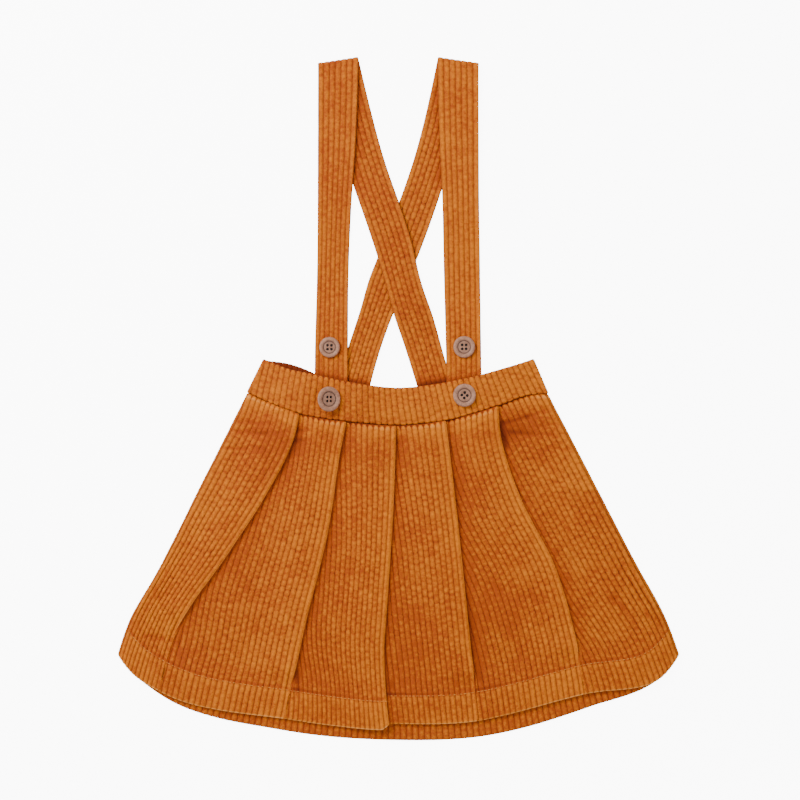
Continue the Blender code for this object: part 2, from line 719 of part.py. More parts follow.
def make_button(name, x, y, seat, diameter, turn, tilt):
    """A four-hole button: a rounded rim round a dished centre."""
    radius = diameter / 2
    dish = 0.58 * radius
    # distance from the middle, height
    profile = (
        (0.0, 0.0), (0.86 * radius, 0.0), (radius, 0.9), (radius, 1.9), (0.93 * radius, BUTTON_THICK - 0.3),
        (0.84 * radius, BUTTON_THICK), (0.70 * radius, BUTTON_THICK - 0.15), (dish, BUTTON_THICK - 1.0),
        (0.0, BUTTON_THICK - 1.1),
    )
    mesh = bmesh.new()
    verts = [mesh.verts.new((distance, 0.0, height)) for distance, height in profile]
    edges = [mesh.edges.new(pair) for pair in zip(verts, verts[1:])]
    bmesh.ops.spin(mesh, geom=verts + edges, cent=(0, 0, 0), axis=(0, 0, 1), angle=math.tau, steps=24,
                   use_merge=True)
    bmesh.ops.remove_doubles(mesh, verts=mesh.verts, dist=0.001)
    button = place_object(name, mesh, BUTTON_FINISH)
    cutter_mesh = bmesh.new()
    for i in range(4):
        angle = math.pi / 4 + i * math.pi / 2
        reach = BUTTON_HOLE_SPACING / math.sqrt(2)
        hole = bmesh.ops.create_cone(cutter_mesh, cap_ends=True, segments=8, radius1=BUTTON_HOLE / 2,
                                     radius2=BUTTON_HOLE / 2, depth=3 * BUTTON_THICK)
        bmesh.ops.translate(cutter_mesh, verts=hole["verts"],
                            vec=(reach * math.cos(angle), reach * math.sin(angle), 0))
    cutter = place_object(name + "_holes", cutter_mesh, BUTTON_FINISH)
    cutter.hide_render = True
    cutter.display_type = "WIRE"
    cutter.parent = button
    holes = button.modifiers.new("holes", "BOOLEAN")
    holes.operation = "DIFFERENCE"
    holes.solver = "EXACT"
    holes.object = cutter
    button.data.shade_smooth()
    button.data.set_sharp_from_angle(angle=math.radians(40))
    lift = seat + radius * math.sin(math.radians(tilt))
    button.location = (x * MM, y * MM, lift * MM)
    button.rotation_mode = "ZYX"
    button.rotation_euler = (0.0, math.radians(tilt), math.radians(turn))
    return button


# ------------------------------------------------------------------ the garment

for leftover in list(bpy.data.objects):
    bpy.data.objects.remove(leftover, do_unlink=True)

garment = bpy.data.objects.new("overall_skirt", None)
bpy.context.scene.collection.objects.link(garment)

front_lines = [Path(line, 12) for line, _ in SKIRT_LINES]
back_lines = []
for line, extra in SKIRT_LINES:
    start, after, before, end = (np.array(line[i], float) for i in (0, 1, -2, -1))
    top = start + BACK_SEAM_UP * (start - after) / np.linalg.norm(start - after)
    hem = end + extra * (end - before) / np.linalg.norm(end - before)
    back_lines.append(Path((tuple(top), *line[1:-1], tuple(hem)), 12))

front_rows = [FrontRow(share) for share in FRONT_ROWS]
gore_widths = [max(row.gores[k].length for row in front_rows) for k in range(len(PLEATS) + 1)]
make_wall("front_skirt", [row.section() for row in front_rows], CORDUROY_FRONT)
make_wall("back_skirt", back_sections(), CORDUROY_BACK)
make_waistbands()
make_strap("strap_left", (LEFT_FRONT_INNER, LEFT_FRONT_OUTER), (LEFT_BACK_INNER, LEFT_BACK_OUTER),
           OVER_LEG)
make_strap("strap_right", (RIGHT_FRONT_INNER, RIGHT_FRONT_OUTER), (RIGHT_BACK_INNER, RIGHT_BACK_OUTER),
           UNDER_LEG)
for button_row in BUTTONS:
    make_button(*button_row)
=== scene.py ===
# %% [markdown]
# # A child's overall skirt in wide-wale corduroy, laid flat
# The garment lies on its back on a pale floor, photographed from straight above. Cloth this thick
# doesn't hang or billow here: it lies in layers. So each sewn piece is made as a thin closed wall
# whose sections follow the same sizes as the solid that it stands for. The raised wales, which
# repeat by a rule all over the cloth, are then added by one Geometry Nodes tree, and one family of
# materials gives the nap its gold and rust.
#
# Lengths are in millimetres, as a tailor would write them, and MM turns them into metres where
# Blender needs them. +X is to the right, +Y from the hem to the shoulders, +Z up from the floor.

# %% Load the frame
import math

import bmesh
import bpy
import numpy as np
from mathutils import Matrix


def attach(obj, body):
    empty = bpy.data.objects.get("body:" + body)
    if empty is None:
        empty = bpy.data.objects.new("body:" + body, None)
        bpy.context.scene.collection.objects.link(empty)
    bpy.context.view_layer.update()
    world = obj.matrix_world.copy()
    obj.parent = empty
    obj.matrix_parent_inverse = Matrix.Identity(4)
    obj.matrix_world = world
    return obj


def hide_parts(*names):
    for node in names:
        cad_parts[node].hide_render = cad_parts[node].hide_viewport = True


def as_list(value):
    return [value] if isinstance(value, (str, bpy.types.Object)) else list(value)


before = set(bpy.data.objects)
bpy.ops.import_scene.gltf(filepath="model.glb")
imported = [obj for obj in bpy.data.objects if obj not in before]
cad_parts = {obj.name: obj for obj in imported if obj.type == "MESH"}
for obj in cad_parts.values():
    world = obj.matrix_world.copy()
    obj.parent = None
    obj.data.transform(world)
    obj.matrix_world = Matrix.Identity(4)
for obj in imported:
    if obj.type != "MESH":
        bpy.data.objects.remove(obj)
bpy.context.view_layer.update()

MM = 0.001
print("nodes:", sorted(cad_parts))

# %% [markdown]
# ## Camera, floor and light
# The photograph was taken from straight above, so the camera looks down. The garment's own middle
# lies just off the picture's. A long lens from two metres keeps the straps and the hem at one
# scale. A broad soft light comes from above the left shoulder, low enough to fall into the
# corduroy's grooves and to shade the right of each fold. A weaker one opens the shadows.

# %% Camera
PICTURE_WIDTH = 720.0      # what the camera's frame spans on the floor
CAMERA_HEIGHT = 2000.0
PICTURE_MIDDLE = (1.35, -2.25)


def added(name, data):
    """A new object in the scene."""
    piece = bpy.data.objects.new(name, data)
    bpy.context.scene.collection.objects.link(piece)
    return piece


camera = added("camera", bpy.data.cameras.new("camera"))
camera.data.sensor_width = 36.0
camera.data.lens = camera.data.sensor_width * CAMERA_HEIGHT / PICTURE_WIDTH
camera.data.clip_end = 20.0
camera.location = (PICTURE_MIDDLE[0] * MM, PICTURE_MIDDLE[1] * MM, CAMERA_HEIGHT * MM)
bpy.context.scene.camera = camera
print("lens", round(camera.data.lens, 1), "mm")

# %% Light
LIT_PLACE = (0.0, -0.05, 0.0)
WORLD_STRENGTH = 0.62
# name, place, side, power, colour: metres and watts
LAMPS = (
    ("key", (-0.85, 0.75, 1.25), 0.8, 29.0, (1.0, 0.985, 0.96)),
    ("fill", (0.9, -0.55, 1.7), 1.4, 7.6, (0.97, 0.985, 1.0)),
)


def add_lamp(name, place, side, power, colour):
    """A square soft light that points at the garment."""
    lamp = added(name, bpy.data.lights.new(name, "AREA"))
    lamp.data.size = side
    lamp.data.energy = power
    lamp.data.color = colour
    lamp.location = place
    away = np.array(place) - np.array(LIT_PLACE)
    from_upright = math.acos(away[2] / np.linalg.norm(away))
    lamp.rotation_euler = (from_upright, 0, math.atan2(away[0], -away[1]))


for lamp_row in LAMPS:
    add_lamp(*lamp_row)

world = bpy.data.worlds.new("studio")
world.use_nodes = True
studio_light = world.node_tree.nodes["Background"].inputs
studio_light["Color"].default_value = (1.0, 1.0, 1.0, 1.0)
studio_light["Strength"].default_value = WORLD_STRENGTH
bpy.context.scene.world = world
print("lamps:", len(LAMPS))

# %% Floor
FLOOR_SIDE = 16.0          # in metres
FLOOR_DROP = 0.1           # keeps the floor clear of the cloth that touches it


def flat_sheet(name, side):
    mesh = bpy.data.meshes.new(name)
    half = side / 2
    corners = [(-half, -half, 0), (half, -half, 0), (half, half, 0), (-half, half, 0)]
    mesh.from_pydata(corners, [], [(0, 1, 2, 3)])
    return added(name, mesh)


floor = flat_sheet("floor", FLOOR_SIDE)
floor.location.z = -FLOOR_DROP * MM
print("floor:", FLOOR_SIDE, "m square")

# %% [markdown]
# ## Writing node maths as Python
# Shader and geometry trees share their maths nodes. Wrapping a socket in a small class lets a rule
# such as the shape of a wale be written once, as an expression, and used in both kinds of tree.

# %% A socket that does maths


class Field:
    """One socket of a node tree. Operators on it add Math nodes."""

    def __init__(self, tree, socket=None):
        self.tree = tree
        self.socket = socket

    def node(self, kind, settings, sockets, output=0):
        """Adds a node: its settings first, then values or links for its sockets."""
        made = self.tree.nodes.new(kind)
        for name, value in settings.items():
            setattr(made, name, value)
        for name, value in sockets.items():
            if isinstance(value, Field):
                self.tree.links.new(value.socket, made.inputs[name])
            else:
                made.inputs[name].default_value = value
        return Field(self.tree, made.outputs[output])

    def maths(self, operation, *others):
        values = {i: value for i, value in enumerate((self, *others))}
        return self.node("ShaderNodeMath", {"operation": operation}, values)

    def __add__(self, other):
        return self.maths("ADD", other)

    def __radd__(self, other):
        return self.maths("ADD", other)

    def __mul__(self, other):
        return self.maths("MULTIPLY", other)

    def __rmul__(self, other):
        return self.maths("MULTIPLY", other)

    def __truediv__(self, other):
        return self.maths("DIVIDE", other)

    def __sub__(self, other):
        return self.maths("SUBTRACT", other)

    def __rsub__(self, other):
        return (self * -1.0).maths("ADD", other)

    def __mod__(self, other):
        return self.maths("FLOORED_MODULO", other)

    def __pow__(self, other):
        return self.maths("POWER", other)

    def floor(self):
        return self.maths("FLOOR")

    def size(self):
        return self.maths("ABSOLUTE")

    def lesser(self, other):
        return self.maths("MINIMUM", other)

    def greater(self, other):
        return self.maths("MAXIMUM", other)

    def eased(self, low, high):
        """0 below low, 1 above high, and a smooth passage between."""
        return self.node("ShaderNodeMapRange", {"interpolation_type": "SMOOTHSTEP"},
                         {"Value": self, "From Min": low, "From Max": high})

    def held(self):
        """Kept between 0 and 1."""
        return self.lesser(1.0).greater(0.0)


def pair(start, x, y, z=0.0):
    return start.node("ShaderNodeCombineXYZ", {}, {"X": x, "Y": y, "Z": z})


def cloudy(start, place, scale, detail=2.0, roughness=0.5):
    """Soft noise around 0, mostly between -1 and 1."""
    sockets = {"Vector": place, "Scale": scale, "Detail": detail, "Roughness": roughness}
    noise = start.node("ShaderNodeTexNoise", {"noise_dimensions": "3D"}, sockets)
    return (noise - 0.5) * 4.0


def chance(start, x, y):
    """A number from 0 to 1 that belongs to x and y."""
    return start.node("ShaderNodeTexWhiteNoise", {"noise_dimensions": "2D"},
                      {"Vector": pair(start, x + 0.5, y + 0.5)}, "Value")


print("a Field knows", len([name for name in vars(Field) if name[:2] != "__"]), "named sums")

# %% [markdown]
# ## The rule of the cloth
# Jumbo corduroy has one round-backed wale every 5.5 mm, with a narrow groove between. Washing has
# crushed the wales into short blocks, set nearly half a block on from one wale to the next like
# bricks, and no two the same. Each vertex carries two numbers: "wale" counts wales across the
# cloth, and "run" the millimetres along them. So the rule can be read anywhere, on any fold.

# %% Wales and their blocks
WALE_PITCH = 5.5
WALE_DEPTH = 0.95          # from crest to groove
WALE_POWER = 2.9           # the higher, the flatter the crest and the narrower the groove
BLOCK = 6.2                # length of a crushed block
ROW_DRIFT = 0.30           # how far noise moves a whole row of blocks, in blocks
OWN_DRIFT = 0.21           # how far it moves the blocks of one wale
NOTCH_POWER = 2.3          # the higher, the shorter the dips at a block's ends
NOTCH_WARP = 0.10          # how far a dip strays from square to its wale, in blocks
NEXT_WALE = 0.45           # how far on every other wale's blocks are set, in blocks
SHALLOWEST = 0.4           # the faintest notch, as a share of the deepest
WAVER = 0.05               # how far the grooves stray sideways, in wales
# how fast each noise changes, per wale across and per millimetre along, and its seed
WAVER_NOISE = (0.21, 0.035, 2.0)
ROW_NOISE = (0.31, 0.04, 0.0)
OWN_NOISE = (7.3, 0.09, 5.0)
WARP_NOISE = (1.7, 0.3, 8.0)


def drift(start, wale, run, noise):
    """Slow noise over the cloth."""
    across, along, seed = noise
    return cloudy(start, pair(start, wale * across, run * along, seed), 1.0, 1.0)


def wale_profile(start, wale, run):
    """1 along a crest, 0 in a groove. The grooves waver a little."""
    wave = drift(start, wale, run, WAVER_NOISE) * WAVER
    off_crest = (((wale + wave) % 1.0) * 2.0 - 1.0).size()
    return 1.0 - off_crest ** WALE_POWER


def blocks(start, wale, run):
    """The crushed blocks: how near a block's end is, 0 to 1, and the block's own random tone."""
    number = wale.floor()
    rows = drift(start, number, run, ROW_NOISE) * ROW_DRIFT
    own = drift(start, number, run, OWN_NOISE) * OWN_DRIFT
    warp = drift(start, wale, run, WARP_NOISE) * NOTCH_WARP
    place = run / BLOCK + (number % 2.0) * NEXT_WALE + rows + own + warp
    boundary = (place + 0.5).floor()
    strength = chance(start, number, boundary) * (1.0 - SHALLOWEST) + SHALLOWEST
    near_end = (1.0 - (place - boundary).size() * 2.0) ** NOTCH_POWER * strength
    return near_end, chance(start, number, place.floor() + 0.25)


print("wales per 100 mm:", round(100 / WALE_PITCH, 1))

# %% [markdown]
# ## Raising the wales with Geometry Nodes
# The walls are made smooth, at the height of the crests. The tree then sinks the grooves and the
# ends of the blocks along the surface's own normal, so wales run round folds and hems, and end in
# round tips where a wall closes. "stand" says where wales stand, "crush" how much they are crushed.

# %% Opening and closing a geometry tree


def new_tree(name, inputs):
    """A geometry tree with named inputs: (name, socket type, default)."""
    tree = bpy.data.node_groups.new(name, "GeometryNodeTree")
    tree.interface.new_socket("Geometry", in_out="OUTPUT", socket_type="NodeSocketGeometry")
    tree.interface.new_socket("Geometry", in_out="INPUT", socket_type="NodeSocketGeometry")
    for title, kind, default in inputs:
        made = tree.interface.new_socket(title, in_out="INPUT", socket_type=kind)
        if default is not None:
            made.default_value = default
    outputs = tree.nodes.new("NodeGroupInput").outputs
    given = {socket.name: Field(tree, socket) for socket in outputs if socket.name}
    return tree, Field(tree), given


def close_tree(start, geometry, finish):
    """Every tree ends the same way: real geometry, with its material."""
    real = start.node("GeometryNodeRealizeInstances", {}, {"Geometry": geometry})
    dressed = start.node("GeometryNodeSetMaterial", {}, {"Geometry": real, "Material": finish})
    end = start.tree.nodes.new("NodeGroupOutput")
    start.tree.links.new(dressed.socket, end.inputs[0])


def carried(start, name):
    """An attribute that the mesh carries."""
    return start.node("GeometryNodeInputNamedAttribute", {"data_type": "FLOAT"}, {"Name": name})


def run_tree(piece, tree, values):
    """Runs a tree on a piece and leaves a plain mesh."""
    modifier = piece.modifiers.new(tree.name, "NODES")
    modifier.node_group = tree
    for item in tree.interface.items_tree:
        if item.in_out == "INPUT" and item.name in values:
            modifier[item.identifier] = values[item.name]
    graph = bpy.context.evaluated_depsgraph_get()
    seen = piece.evaluated_get(graph)
    mesh = bpy.data.meshes.new_from_object(seen, preserve_all_data_layers=True, depsgraph=graph)
    piece.modifiers.clear()
    piece.data = mesh
    mesh.shade_smooth()
    return piece


print("each tree ends in Realize Instances and Set Material")

# %% The tree that raises the wales
BLOCK_DEPTH = 0.42         # how deep the notches between blocks are
UNEVENNESS = 0.22          # how much a crest sags here and there
UNEVEN_SCALE = 34.0        # per metre


def wale_tree():
    tree, start, given = new_tree("raise_wales", (
        ("Depth", "NodeSocketFloat", WALE_DEPTH * MM),
        ("Block depth", "NodeSocketFloat", BLOCK_DEPTH * MM),
        ("Unevenness", "NodeSocketFloat", UNEVENNESS * MM),
        ("Material", "NodeSocketMaterial", None),
    ))
    wale, run = carried(start, "wale"), carried(start, "run")
    stand, crush = carried(start, "stand"), carried(start, "crush")
    near_end, _ = blocks(start, wale, run)
    profile = wale_profile(start, wale, run)
    place = start.node("GeometryNodeInputPosition", {}, {})
    uneven = cloudy(start, place, UNEVEN_SCALE) * given["Unevenness"]
    groove = (1.0 - profile) * given["Depth"]
    dent = profile * crush * near_end * given["Block depth"]
    lift = (uneven - (groove + dent) * stand).lesser(0.0)
    normal = start.node("GeometryNodeInputNormal", {}, {})
    sunk = start.node("ShaderNodeVectorMath", {"operation": "SCALE"}, {0: normal, "Scale": lift})
    moved = start.node("GeometryNodeSetPosition", {},
                       {"Geometry": given["Geometry"], "Offset": sunk})
    close_tree(start, moved, given["Material"])
    return tree


raise_wales = wale_tree()
print("nodes in the tree:", len(raise_wales.nodes))

# %% [markdown]
# ## Corduroy's colour
# The nap lies in patches, gold where it faces up and rust where it is pressed the other way. Crests
# carry a painted highlight, grooves a deep reddish painted shade, and each crushed block has a tone
# of its own. What changes from place to place on the garment, such as the painted highlight on a
# fold edge, the painted shade beside it, or a pressed hem, comes in as the "tint" that the mesh
# carries, from -1, rust and dark, to 1, gold and light.

# %% Corduroy's colours, and what a material is made of
# the painted highlight on the crests
LIGHT = (0.885, 0.245, 0.005)
GOLD = (0.530, 0.140, 0.009)
RUST = (0.380, 0.064, 0.008)
# painted shade in the grooves and in shaded places
DEEP_SHADE = (0.105, 0.012, 0.006)
# a pale painted highlight on folded edges
EDGE_HIGHLIGHT = (0.95, 0.40, 0.10)
SHEEN_TINT = (1.0, 0.50, 0.16)


def mixed(start, factor, one, other):
    """A colour mix. Colours are three numbers or another mix."""
    colours = [(*value, 1.0) if isinstance(value, tuple) else value for value in (one, other)]
    return start.node("ShaderNodeMix", {"data_type": "RGBA"},
                      {0: factor, 6: colours[0], 7: colours[1]}, 2)


def new_material(name, roughness):
    made = bpy.data.materials.new(name)
    made.use_nodes = True
    shader = made.node_tree.nodes["Principled BSDF"]
    shader.inputs["Roughness"].default_value = roughness
    shader.inputs["Specular IOR Level"].default_value = 0.25
    return made, shader, Field(made.node_tree)


def attribute(start, name):
    return start.node("ShaderNodeAttribute", {"attribute_name": name}, {}, "Fac")


def bump(start, shader, height, strength, distance):
    sockets = {"Height": height, "Strength": strength, "Distance": distance}
    relief = start.node("ShaderNodeBump", {}, sockets)
    start.tree.links.new(relief.socket, shader.inputs["Normal"])


print("from", RUST, "to", LIGHT)

# %% How much each thing shows in the nap
# noise: per metre, detail, roughness
PATCH_NOISE = (24.0, 3.0, 0.62)
MOTTLE_NOISE = (300.0, 3.0, 0.7)
FIBRE_NOISE = (900.0, 3.0, 0.7)
GROOVE_NOISE = (3.1, 0.16, 9.0)
PATCH_SHARE = 0.30
MOTTLE_SHARE = 0.44
NAP_MIDDLE = 0.46          # halfway from rust to gold, or a little less
TINT_SHARE = 0.5
OWN_SHARE = 0.20           # how much one block differs from the next
NOTCH_SHADE = 0.40         # how much darker the notches are
NOTCH_DEPTH = 0.54         # as a share of the grooves'
CREST_HIGHLIGHT = 0.65              # how strong the painted highlight on the crests is
CREST_HIGHLIGHT_POWER = 3.0         # the higher, the narrower the painted highlight on a crest
CREST_HIGHLIGHT_MIDDLE = 0.32
CREST_HIGHLIGHT_BY = {"own": 0.24, "tint": 0.35, "mottle": 1.2, "patches": 0.3}
WORN = 0.85                # how much of the pale painted highlight shows where a tint is over 1
SHADED = 0.7               # how much of the deep painted shade shows where a tint is below -1
GROOVE_SHADE = 0.84
GROOVE_FROM, GROOVE_TO = -0.25, 0.62
GROOVE_MIDDLE = 0.85
GROOVE_BREAKS = 0.35       # how much the grooves' darkness comes and goes
BUMP_STRENGTH = 0.8
BUMP_DISTANCE = 0.4
# what the bump is made of: fibres, wales that lie flat, notches
FIBRE_BUMP, FLAT_BUMP, NOTCH_BUMP = 0.2, 2.0, 0.6
NAP_ROUGHNESS = 0.86
CLOTH_SETTINGS = {
    "Specular IOR Level": 0.08,
    "Sheen Weight": 0.16,
    "Sheen Roughness": 0.4,
    "Sheen Tint": (*SHEEN_TINT, 1.0),
}
print("the nap lies", NAP_MIDDLE, "of the way from rust to gold")

# %% Corduroy material


def corduroy(name, tone, relief=0.0):
    """tone moves the cloth between rust (-1) and gold (1). relief draws wales that lie flat."""
    made, shader, start = new_material(name, NAP_ROUGHNESS)
    for setting, value in CLOTH_SETTINGS.items():
        shader.inputs[setting].default_value = value
    place = start.node("ShaderNodeTexCoord", {}, {}, "Object")
    wale, run, stand, crush, tint = (
        attribute(start, fact) for fact in ("wale", "run", "stand", "crush", "tint"))
    near_end, own = blocks(start, wale, run)
    profile = wale_profile(start, wale, run)
    seen = stand.greater(relief)
    patches = cloudy(start, place, *PATCH_NOISE) * PATCH_SHARE
    mottle = cloudy(start, place, *MOTTLE_NOISE) * MOTTLE_SHARE
    between = near_end * crush
    nap = NAP_MIDDLE + patches + mottle + tint * TINT_SHARE + tone * TINT_SHARE
    nap = nap + (own - 0.5) * crush * OWN_SHARE - between * NOTCH_SHADE
    colour = mixed(start, nap.held(), RUST, GOLD)
    kernel = profile - between * NOTCH_DEPTH
    # painted highlight on the crests, stronger with the tint and the mottle
    crest = kernel.greater(0.0) ** CREST_HIGHLIGHT_POWER
    lightness = own * CREST_HIGHLIGHT_BY["own"] + CREST_HIGHLIGHT_MIDDLE + tint * CREST_HIGHLIGHT_BY["tint"]
    lightness = lightness + mottle * CREST_HIGHLIGHT_BY["mottle"] + patches * CREST_HIGHLIGHT_BY["patches"]
    colour = mixed(start, (crest * lightness * CREST_HIGHLIGHT).held(), colour, LIGHT)
    # a pale painted highlight where the tint passes 1: fold tops and the hem's edge
    colour = mixed(start, (tint - 1.0).held() * WORN, colour, EDGE_HIGHLIGHT)
    # deep painted shade where the tint passes -1
    colour = mixed(start, (-1.0 * tint - 1.0).held() * SHADED, colour, DEEP_SHADE)
    # painted shade in the grooves, broken along their length
    broken = GROOVE_MIDDLE + drift(start, wale.floor(), run, GROOVE_NOISE) * GROOVE_BREAKS
    groove = (1.0 - kernel.eased(GROOVE_FROM, GROOVE_TO)) * seen * broken.held()
    colour = mixed(start, (groove * GROOVE_SHADE).held(), colour, DEEP_SHADE)
    start.tree.links.new(colour.socket, shader.inputs["Base Color"])
    fibres = cloudy(start, place, *FIBRE_NOISE)
    flat_wales = profile * (1.0 - stand) * relief
    height = fibres * FIBRE_BUMP + flat_wales * FLAT_BUMP
    bump(start, shader, height - between * seen * NOTCH_BUMP, BUMP_STRENGTH, BUMP_DISTANCE * MM)
    return made


FINISHES = {
    "skirt": corduroy("corduroy_skirt", -0.14),
    "band": corduroy("corduroy_band", 0.30),
    "strap": corduroy("corduroy_strap", 0.05, 0.9),
    "back": corduroy("corduroy_back", -0.45, 0.9),
}
print("corduroy finishes:", sorted(FINISHES))

# %% [markdown]
# ## Floor and thread
# The photograph's ground is pure white, as a sheet lit from behind is. So the camera sees a glowing
# floor, while the cloth is lit by a plain pale one: glow from below would tint its sides. The
# thread is a shade lighter than the cloth.

# %% Finishes for the floor and the thread
FLOOR_GLOW = 9.0
FLOOR_TONES = ((0.90, 0.90, 0.90), (0.94, 0.94, 0.94))
THREAD_TONES = ((0.56, 0.19, 0.03), (0.80, 0.33, 0.07))


def clouded(name, roughness, scale, share, tones):
    """A matt material whose colour drifts between two tones."""
    made, shader, start = new_material(name, roughness)
    place = start.node("ShaderNodeTexCoord", {}, {}, "Object")
    tone = (0.5 + cloudy(start, place, scale) * share).held()
    colour = mixed(start, tone, *tones)
    start.tree.links.new(colour.socket, shader.inputs["Base Color"])
    return made, shader, start


def glowing_floor():
    made, shader, start = clouded("pale_floor", 0.9, 3.0, 0.1, FLOOR_TONES)
    backlit = start.node("ShaderNodeBsdfPrincipled", {}, {
        "Base Color": (0.92, 0.92, 0.92, 1.0), "Roughness": 0.9,
        "Emission Color": (1.0, 1.0, 1.0, 1.0), "Emission Strength": FLOOR_GLOW})
    seen_straight = start.node("ShaderNodeLightPath", {}, {}, "Is Camera Ray")
    pale = Field(start.tree, shader.outputs[0])
    both = start.node("ShaderNodeMixShader", {}, {0: seen_straight, 1: pale, 2: backlit})
    start.tree.links.new(both.socket, start.tree.nodes["Material Output"].inputs["Surface"])
    return made


def thread():
    made, shader, _ = clouded("thread", 0.8, 300.0, 0.4, THREAD_TONES)
    shader.inputs["Specular IOR Level"].default_value = 0.1
    return made


floor.data.materials.append(glowing_floor())
THREAD = thread()
print("plain finishes:", floor.data.materials[0].name, THREAD.name)

# %% [markdown]
# ## Curves to cut by
# Every panel is drawn from a few lines, such as the pleats' folds and the side seams, each a smooth
# curve through the points that its shape needs. A curve is read by the distance along it, for one
# place or for a whole row of places at once, and carries on straight past its ends.

# %% Blends


def blend(share):
    """Passes smoothly from 0 to 1."""
    share = np.clip(share, 0.0, 1.0)
    return share * share * (3 - 2 * share)


def rounded(distance, radius):
    """How full a wall is this far from its folded edge: 0 at the edge, 1 from the radius on."""
    reach = np.clip(1 - distance / radius, 0, 1)
    return np.sqrt(1 - reach * reach)


def bell(distance, width):
    return np.exp(-(distance / width) ** 2)


def column(table, place, wanted=1):
    """Reads a table whose first column is the place."""
    return np.interp(place, [row[0] for row in table], [row[wanted] for row in table])


def soft_column(table, place, wanted, reach):
    """Reads a table with its corners rounded off, this far to either side."""
    steps = np.linspace(-reach, reach, 9)
    return np.mean([column(table, place + step, wanted) for step in steps], axis=0)


print("a quarter blend:", float(blend(0.25)))

# %% Smooth curves


def smooth(points, samples):
    """Samples a smooth curve through the points, the same number for each stretch."""
    points = np.array(points, float)
    spans = np.linalg.norm(np.diff(points, axis=0), axis=1)[:, None]
    slopes = np.diff(points, axis=0) / spans
    inner = (slopes[:-1] * spans[1:] + slopes[1:] * spans[:-1]) / (spans[:-1] + spans[1:])
    first, last = (1.5 * slopes[end] - 0.5 * inner[end] for end in (0, -1))
    tangents = np.vstack([first, inner, last])
    share = (np.arange(samples) / samples)[:, None]
    rise = share * share * (3 - 2 * share)
    result = []
    for i, span in enumerate(spans):
        leave = share * (1 - share) ** 2 * span * tangents[i]
        arrive = share * share * (share - 1) * span * tangents[i + 1]
        result.append(points[i] + rise * (points[i + 1] - points[i]) + leave + arrive)
    return np.vstack(result + [points[-1:]])


class Path:
    """A curve that is read by the distance along it."""

    PAST_END = 50.0        # how far it carries on straight

    def __init__(self, points, samples=1):
        inner = smooth(points, samples) if samples > 1 else np.array(points, float)
        reach = np.concatenate(([0.0], np.cumsum(np.linalg.norm(np.diff(inner, axis=0), axis=1))))
        before = inner[0] + (inner[0] - inner[1]) / reach[1] * self.PAST_END
        after = inner[-1] + (inner[-1] - inner[-2]) / (reach[-1] - reach[-2]) * self.PAST_END
        self.inner = inner
        self.stops = reach[::samples]
        self.length = reach[-1]
        self.points = np.vstack([before, inner, after])
        self.reach = np.concatenate(([-self.PAST_END], reach, [self.length + self.PAST_END]))

    def at(self, distance):
        places = [np.interp(distance, self.reach, self.points[:, axis]) for axis in (0, 1)]
        return np.stack(places, axis=-1)

    def normal(self, distance):
        """The direction square to the curve, on its left."""
        ahead = self.at(distance + 0.2) - self.at(distance - 0.2)
        ahead = ahead / np.linalg.norm(ahead, axis=-1)[..., None]
        return np.stack([-ahead[..., 1], ahead[..., 0]], axis=-1)


print("a 3 by 4 corner, in a straight line:", Path(((0, 0), (3, 4))).length)

# %% [markdown]
# ## Closing a wall of cloth
# A wall is two grids of points, the right side of the cloth and the wrong side, joined round all
# four edges. The grids may differ in fineness: the right side needs five points to a wale, the
# wrong side needs few. Each vertex also gets the numbers that the tree and the material read.

# %% The two sides of a wall
CLOTH = 1.6                # one layer, without its wales
DOUBLE = 2.2               # two layers sewn as one
WALE_STEPS = (0.0, 0.14, 0.36, 0.64, 0.86)     # a wale's points: groove, flanks and back
LEAST_STEP = 0.4
FACTS = ("wale", "run", "stand", "crush", "tint")


class Side:
    """One side of a wall: rows of points, a mark for each column, and the facts at each point."""

    def __init__(self, marks):
        self.marks = marks
        self.points = []
        self.facts = {name: [] for name in FACTS}

    def add(self, points, **facts):
        self.points.append(points)
        for name in FACTS:
            self.facts[name].append(np.broadcast_to(facts.get(name, 0.0), len(points)))


def dense_marks(width, pitch=WALE_PITCH, start=0.0):
    """Marks across a width, five to a wale, from start in the first wale."""
    marks = [0.0, width]
    for wale in range(math.ceil((start + width) / pitch) + 1):
        for step in WALE_STEPS:
            mark = (wale + step) * pitch - start
            if LEAST_STEP < mark < width - LEAST_STEP:
                marks.append(mark)
    return np.array(sorted(marks))


print("marks across two wales:", dense_marks(2 * WALE_PITCH).round(2).tolist())

# %% Closing a wall


def zipped(lower, lower_marks, upper, upper_marks):
    """Triangles between two rows of vertex numbers that differ in count."""
    i = 0
    j = 0
    made = []
    while i < len(lower) - 1 or j < len(upper) - 1:
        next_lower = lower_marks[i + 1] if i < len(lower) - 1 else math.inf
        next_upper = upper_marks[j + 1] if j < len(upper) - 1 else math.inf
        if next_lower <= next_upper:
            made.append((lower[i], lower[i + 1], upper[j]))
            i += 1
        else:
            made.append((lower[i], upper[j + 1], upper[j]))
            j += 1
    return made


def grid_faces(numbers):
    """Quads over a grid of vertex numbers."""
    a, b = numbers[:-1, :-1].ravel(), numbers[:-1, 1:].ravel()
    c, d = numbers[1:, 1:].ravel(), numbers[1:, :-1].ravel()
    return np.stack([a, b, c, d], axis=1).tolist()


